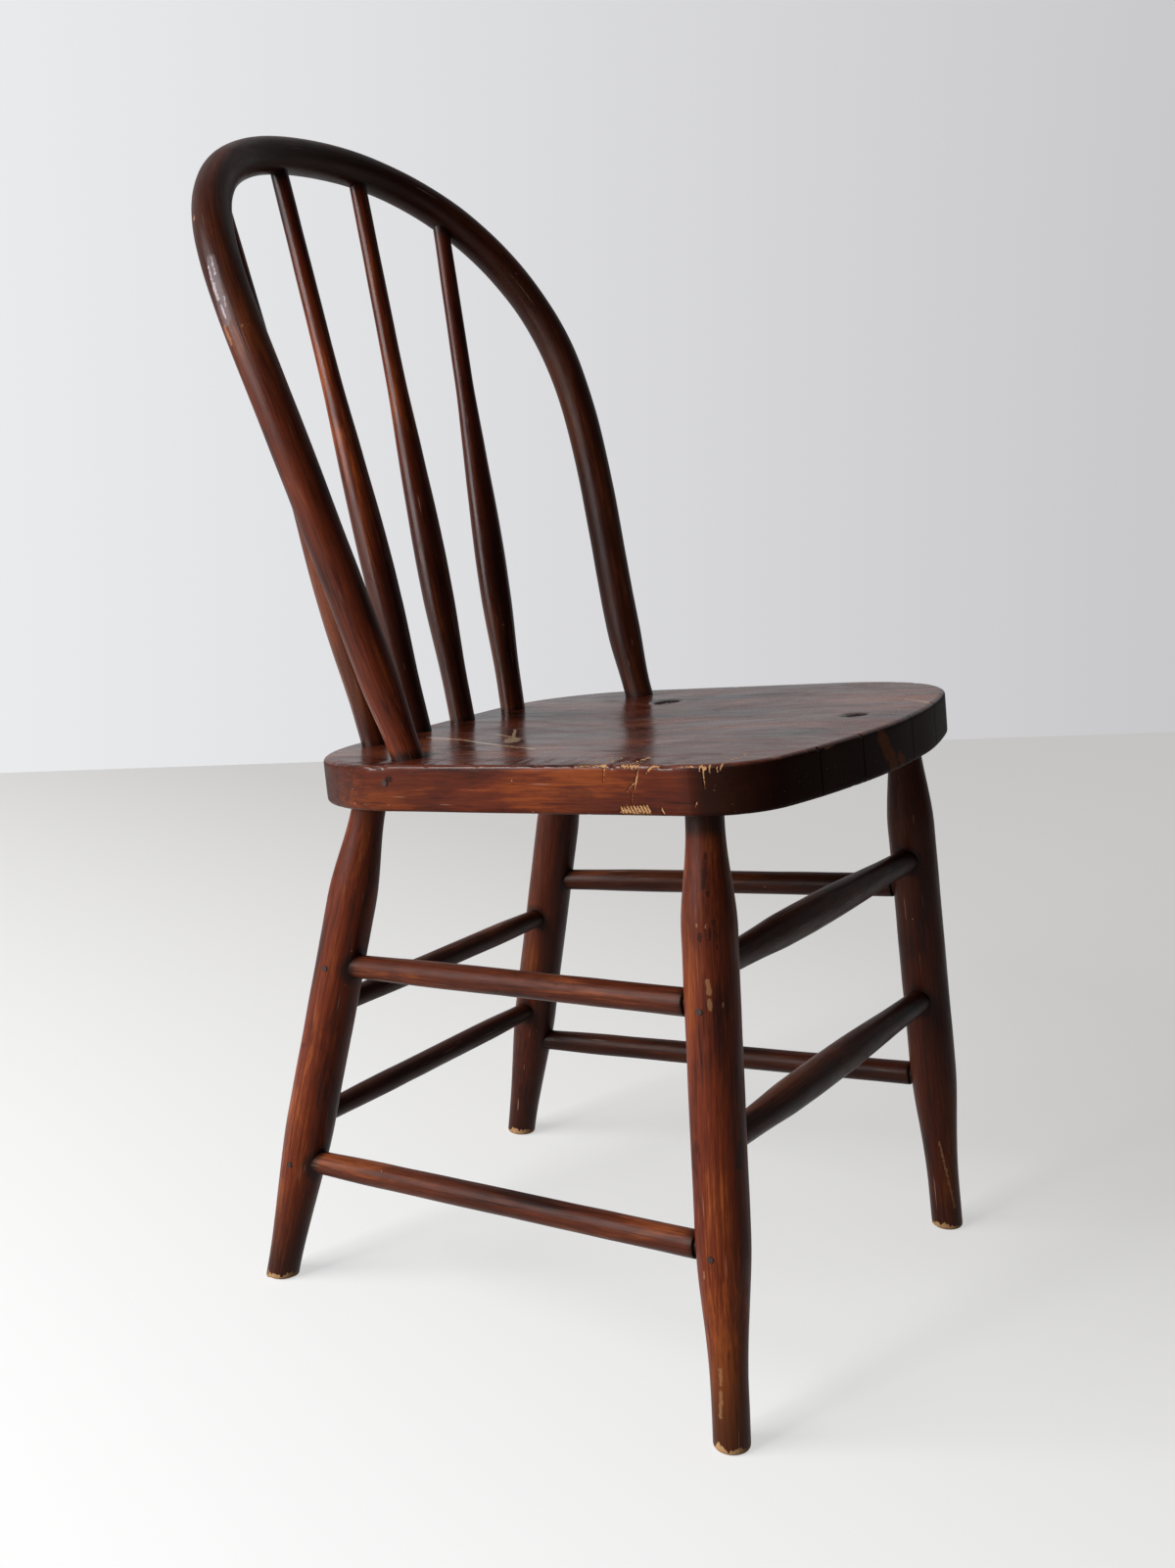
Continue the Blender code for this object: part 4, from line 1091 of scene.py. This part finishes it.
def makeSpindle(place, topX, number):
    shape = spindleShape
    end, side = place.split("_")
    footX, footY = shape["feet"][end]
    foot, top = onSeat(footX if side == "left" else -footX, footY), hoopPointAtX(topX)
    length = (top - foot).length
    heights = stations(-shape["tenon"], length + shape["pastLine"], shape["step"])
    outline = [(h, spindleRadius(h / length)) for h in heights]
    spindle = turnRod("turned_spindle_" + place, outline, shape["sides"])
    addUnevenness(spindle, 0.05, 0.0006)
    storeGrain(spindle, number)
    standUp(spindle, foot, top)
    # painted shade: the spindles darken towards the seat
    fall = shape["darkFrom"] - shape["darkFull"]
    soot = [shape["darker"] * ease((shape["darkFrom"] - v.co.z) / fall) for v in spindle.data.vertices]
    keep(spindle, "spindle_" + place, "spindle_wood", spindleWood, soot=soot)


for number, (place, topX) in enumerate(spindleShape["tops"].items()):
    makeSpindle(place, topX, 51 + number)
print("spindles turned")


# Dirt gathers where two pieces meet, and painted shade darkens the wood there as well

jointShadeReach = 0.014


def cornersOf(piece):
    places = [vertex.co for vertex in piece.data.vertices]
    return [[f(p[i] for p in places) for i in range(3)] for f in (min, max)]


def near(lowA, highA, lowB, highB):
    return all(lowA[i] - jointShadeReach < highB[i] and lowB[i] - jointShadeReach < highA[i] for i in range(3))


def storeJointDirtAndShade():
    corners = [cornersOf(piece) for piece in pieces]
    trees = []
    for piece in pieces:
        polygons = [tuple(polygon.vertices) for polygon in piece.data.polygons]
        trees.append(BVHTree.FromPolygons([v.co for v in piece.data.vertices], polygons))
    for i, piece in enumerate(pieces):
        grime = [0.0] * len(piece.data.vertices)
        for j, tree in enumerate(trees):
            if i == j or not near(*corners[i], *corners[j]):
                continue
            for k, vertex in enumerate(piece.data.vertices):
                if near(vertex.co, vertex.co, *corners[j]):
                    distance = tree.find_nearest(vertex.co, jointShadeReach)[3]
                    if distance is not None:
                        grime[k] = max(grime[k], (1.0 - distance / jointShadeReach) ** 1.5)
        storeNumber(piece, "grime", grime)


storeJointDirtAndShade()
print("grime laid")


# Nail heads: domed iron, a little proud of the wood

nailShape = {"radius": 0.0019, "proud": 0.0004, "dome": 0.0003, "length": 0.012, "sides": 20}


def makeNail():
    # one nail along Z, with its head's rim at the origin
    deselectAll()
    radius, length = nailShape["radius"], nailShape["length"]
    bpy.ops.mesh.primitive_cylinder_add(
        vertices=nailShape["sides"], radius=radius, depth=length, location=(0.0, 0.0, -length / 2))
    nail = bpy.context.active_object
    applyPlace(nail)
    for polygon in nail.data.polygons:
        polygon.select = polygon.center.z > -hair
    setMode("EDIT")
    pickBy("FACE")
    for share in (0.25, 0.45, 0.9):
        bpy.ops.mesh.inset(thickness=radius * 0.28, depth=nailShape["dome"] * share * 0.5)
    pickBy("VERT")
    setMode("OBJECT")
    return nail


def nailPlace(node):
    # the head's middle and the way it faces
    low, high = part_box(node)
    middle = (low + high) / 2
    side = math.copysign(1.0, middle.x)
    outwards = Vector((side, 0.0, 0.0))
    if node.startswith("brad_hoop"):
        return Vector((side * (sideX(middle.y) + nailShape["proud"]), middle.y, middle.z)), outwards
    # from the leg's axis at the nail's height out to the surface, square to the axis
    line = legs[node.split("_")[2], side]
    outwards = (outwards - line.way * outwards.dot(line.way)).normalized()
    axis = line.at(middle.z)
    return axis + outwards * (line.radius((axis - line.foot).length) + nailShape["proud"]), outwards


def driveNails():
    pattern = makeNail()
    for node in [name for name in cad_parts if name.startswith("brad_")]:
        nail = pattern.copy()
        nail.data = pattern.data.copy()
        nail.name = nail.data.name = "nail_" + node
        bpy.context.scene.collection.objects.link(nail)
        head, outwards = nailPlace(node)
        standUp(nail, head, head + outwards)
        keep(nail, node, "brad_iron", nailIron)
    bpy.data.objects.remove(pattern, do_unlink=True)


driveNails()
print("nails driven")


# Studio: a pale room with one wide soft window at the chair's back right

studio = {
    # the wall's colours, paler on the left towards the window, are painted light
    "wallLeft": "#eaebed", "wallRight": "#c6c5c8", "roomSide": 0.04, "roomAhead": 0.60,
    "ahead": (0.849, 0.529, 0.0), "across": (0.529, -0.849, 0.0),
    # the floor's near and far colours and the way between them are a painted fall-off of the window's light
    "floorNear": "#ffffff", "floorFar": "#e0dfdd", "floorDim": "#757370", "floorGlow": 0.62,
    "floorPaintedFalloff": (0.341, -0.094, 0.0),
    "wallWay": (0.732, 0.680, 0.0), "wallDistance": 1.98, "floorReach": 7.0,
    "fill": 0.13, "aim": (0.0, 0.0, 0.35),
    "window": {"place": (-2.60, 1.85, 1.75), "size": (2.6, 2.6), "power": 180.0},
    "pane": {"place": (-3.05, 0.80, 1.60), "size": (0.45, 2.2), "power": 27.0},
    # a second light on the chair's left, which the photograph doesn't show
    "bounce": {"place": (2.30, 1.55, 1.00), "size": (2.4, 2.0), "power": 65.0},
}


def directRays(add):
    # one for the rays of the eye, then one for those of the eye, a gloss and a glass
    path = add("LightPath")
    eye, gloss, glass = (path.outputs[f"Is {kind} Ray"] for kind in ("Camera", "Glossy", "Transmission"))
    seen = add("Math", {0: eye, 1: gloss}, operation="MAXIMUM")
    return eye, add("Math", {0: seen, 1: glass}, operation="MAXIMUM")


def makeFloor():
    # it ends where the room's wall begins
    wallWay = Vector(studio["wallWay"])
    deselectAll()
    bpy.ops.mesh.primitive_plane_add(size=2.0 * studio["floorReach"])
    floor = bpy.context.active_object
    floor.name = "floor"
    setMode("EDIT")
    selectMesh()
    bpy.ops.mesh.bisect(plane_co=wallWay * studio["wallDistance"], plane_no=wallWay, clear_outer=True)
    setMode("OBJECT")
    material = bpy.data.materials.new("paleFloor")
    material.use_nodes = True
    material.node_tree.nodes.clear()
    add = partial(addNode, material.node_tree)
    place = add("TexCoord").outputs["Object"]
    # painted light: the floor is whiter on the window's side and greyer away from it
    far = add("VectorMath", {0: place, 1: studio["floorPaintedFalloff"]}, operation="DOT_PRODUCT")
    share = add("MapRange", {"Value": far, "From Min": -0.17, "From Max": 0.30})
    pale = add("Mix", {0: share, 6: studio["floorNear"], 7: studio["floorFar"]}, **inColour)
    seen = directRays(add)[1]
    colour = add("Mix", {0: seen, 6: studio["floorDim"], 7: pale}, **inColour)
    matt = add("BsdfDiffuse", {"Color": colour})
    glow = add("Emission", {"Color": pale})
    glowShare = add("Math", {0: seen, 1: studio["floorGlow"]}, operation="MULTIPLY")
    add("OutputMaterial", {"Surface": add("MixShader", {0: glowShare, 1: matt, 2: glow})})
    floor.data.materials.append(material)


def makeWorld():
    world = bpy.data.worlds.new("studioWorld")
    world.use_nodes = True
    world.node_tree.nodes.clear()
    add = partial(addNode, world.node_tree)
    way = add("TexCoord").outputs["Generated"]
    # painted light on the backdrop: the wall is paler on the left, towards the window, and greyer on the
    # right
    across = add("VectorMath", {0: way, 1: studio["across"]}, operation="DOT_PRODUCT")
    share = add("MapRange", {"Value": across, "From Min": -0.30, "From Max": 0.34})
    wall = add("Mix", {0: share, 6: studio["wallLeft"], 7: studio["wallRight"]}, **inColour)
    eye, seen = directRays(add)
    # a gloss sees the pale wall behind the chair and the dim room on the other side
    ahead = add("VectorMath", {0: way, 1: studio["ahead"]}, operation="DOT_PRODUCT")
    room = add("MapRange", {
        "Value": ahead, "From Max": 0.75,
        "To Min": studio["roomSide"], "To Max": studio["roomAhead"]}, **smoothly)
    level = add("Math", {0: room, 1: eye}, operation="MAXIMUM")
    backdrop = add("Background", {"Color": wall, "Strength": level})
    fill = add("Background", {"Color": "#ffffff", "Strength": studio["fill"]})
    add("OutputWorld", {"Surface": add("MixShader", {0: seen, 1: fill, 2: backdrop})})
    bpy.context.scene.world = world


def makeLamp(name):
    data = bpy.data.lights.new(name, "AREA")
    data.shape = "RECTANGLE"
    data.size, data.size_y = studio[name]["size"]
    data.energy = studio[name]["power"]
    lamp = bpy.data.objects.new(name, data)
    bpy.context.scene.collection.objects.link(lamp)
    lamp.location = studio[name]["place"]
    lamp.rotation_mode = "QUATERNION"
    lamp.rotation_quaternion = (Vector(studio["aim"]) - lamp.location).to_track_quat("-Z", "Y")
    return lamp


def makeBounce():
    # it lights the chair's wood only, and shows in no gloss
    lamp = makeLamp("bounce")
    lamp.visible_glossy = False
    lit = bpy.data.collections.new("litByBounce")
    for piece in pieces:
        if "grime" in piece.data.attributes:
            lit.objects.link(piece)
    lamp.light_linking.receiver_collection = lit


makeFloor()
makeWorld()
makeLamp("window")
makeLamp("pane")
makeBounce()
bpy.context.scene.view_settings.view_transform = "Standard"
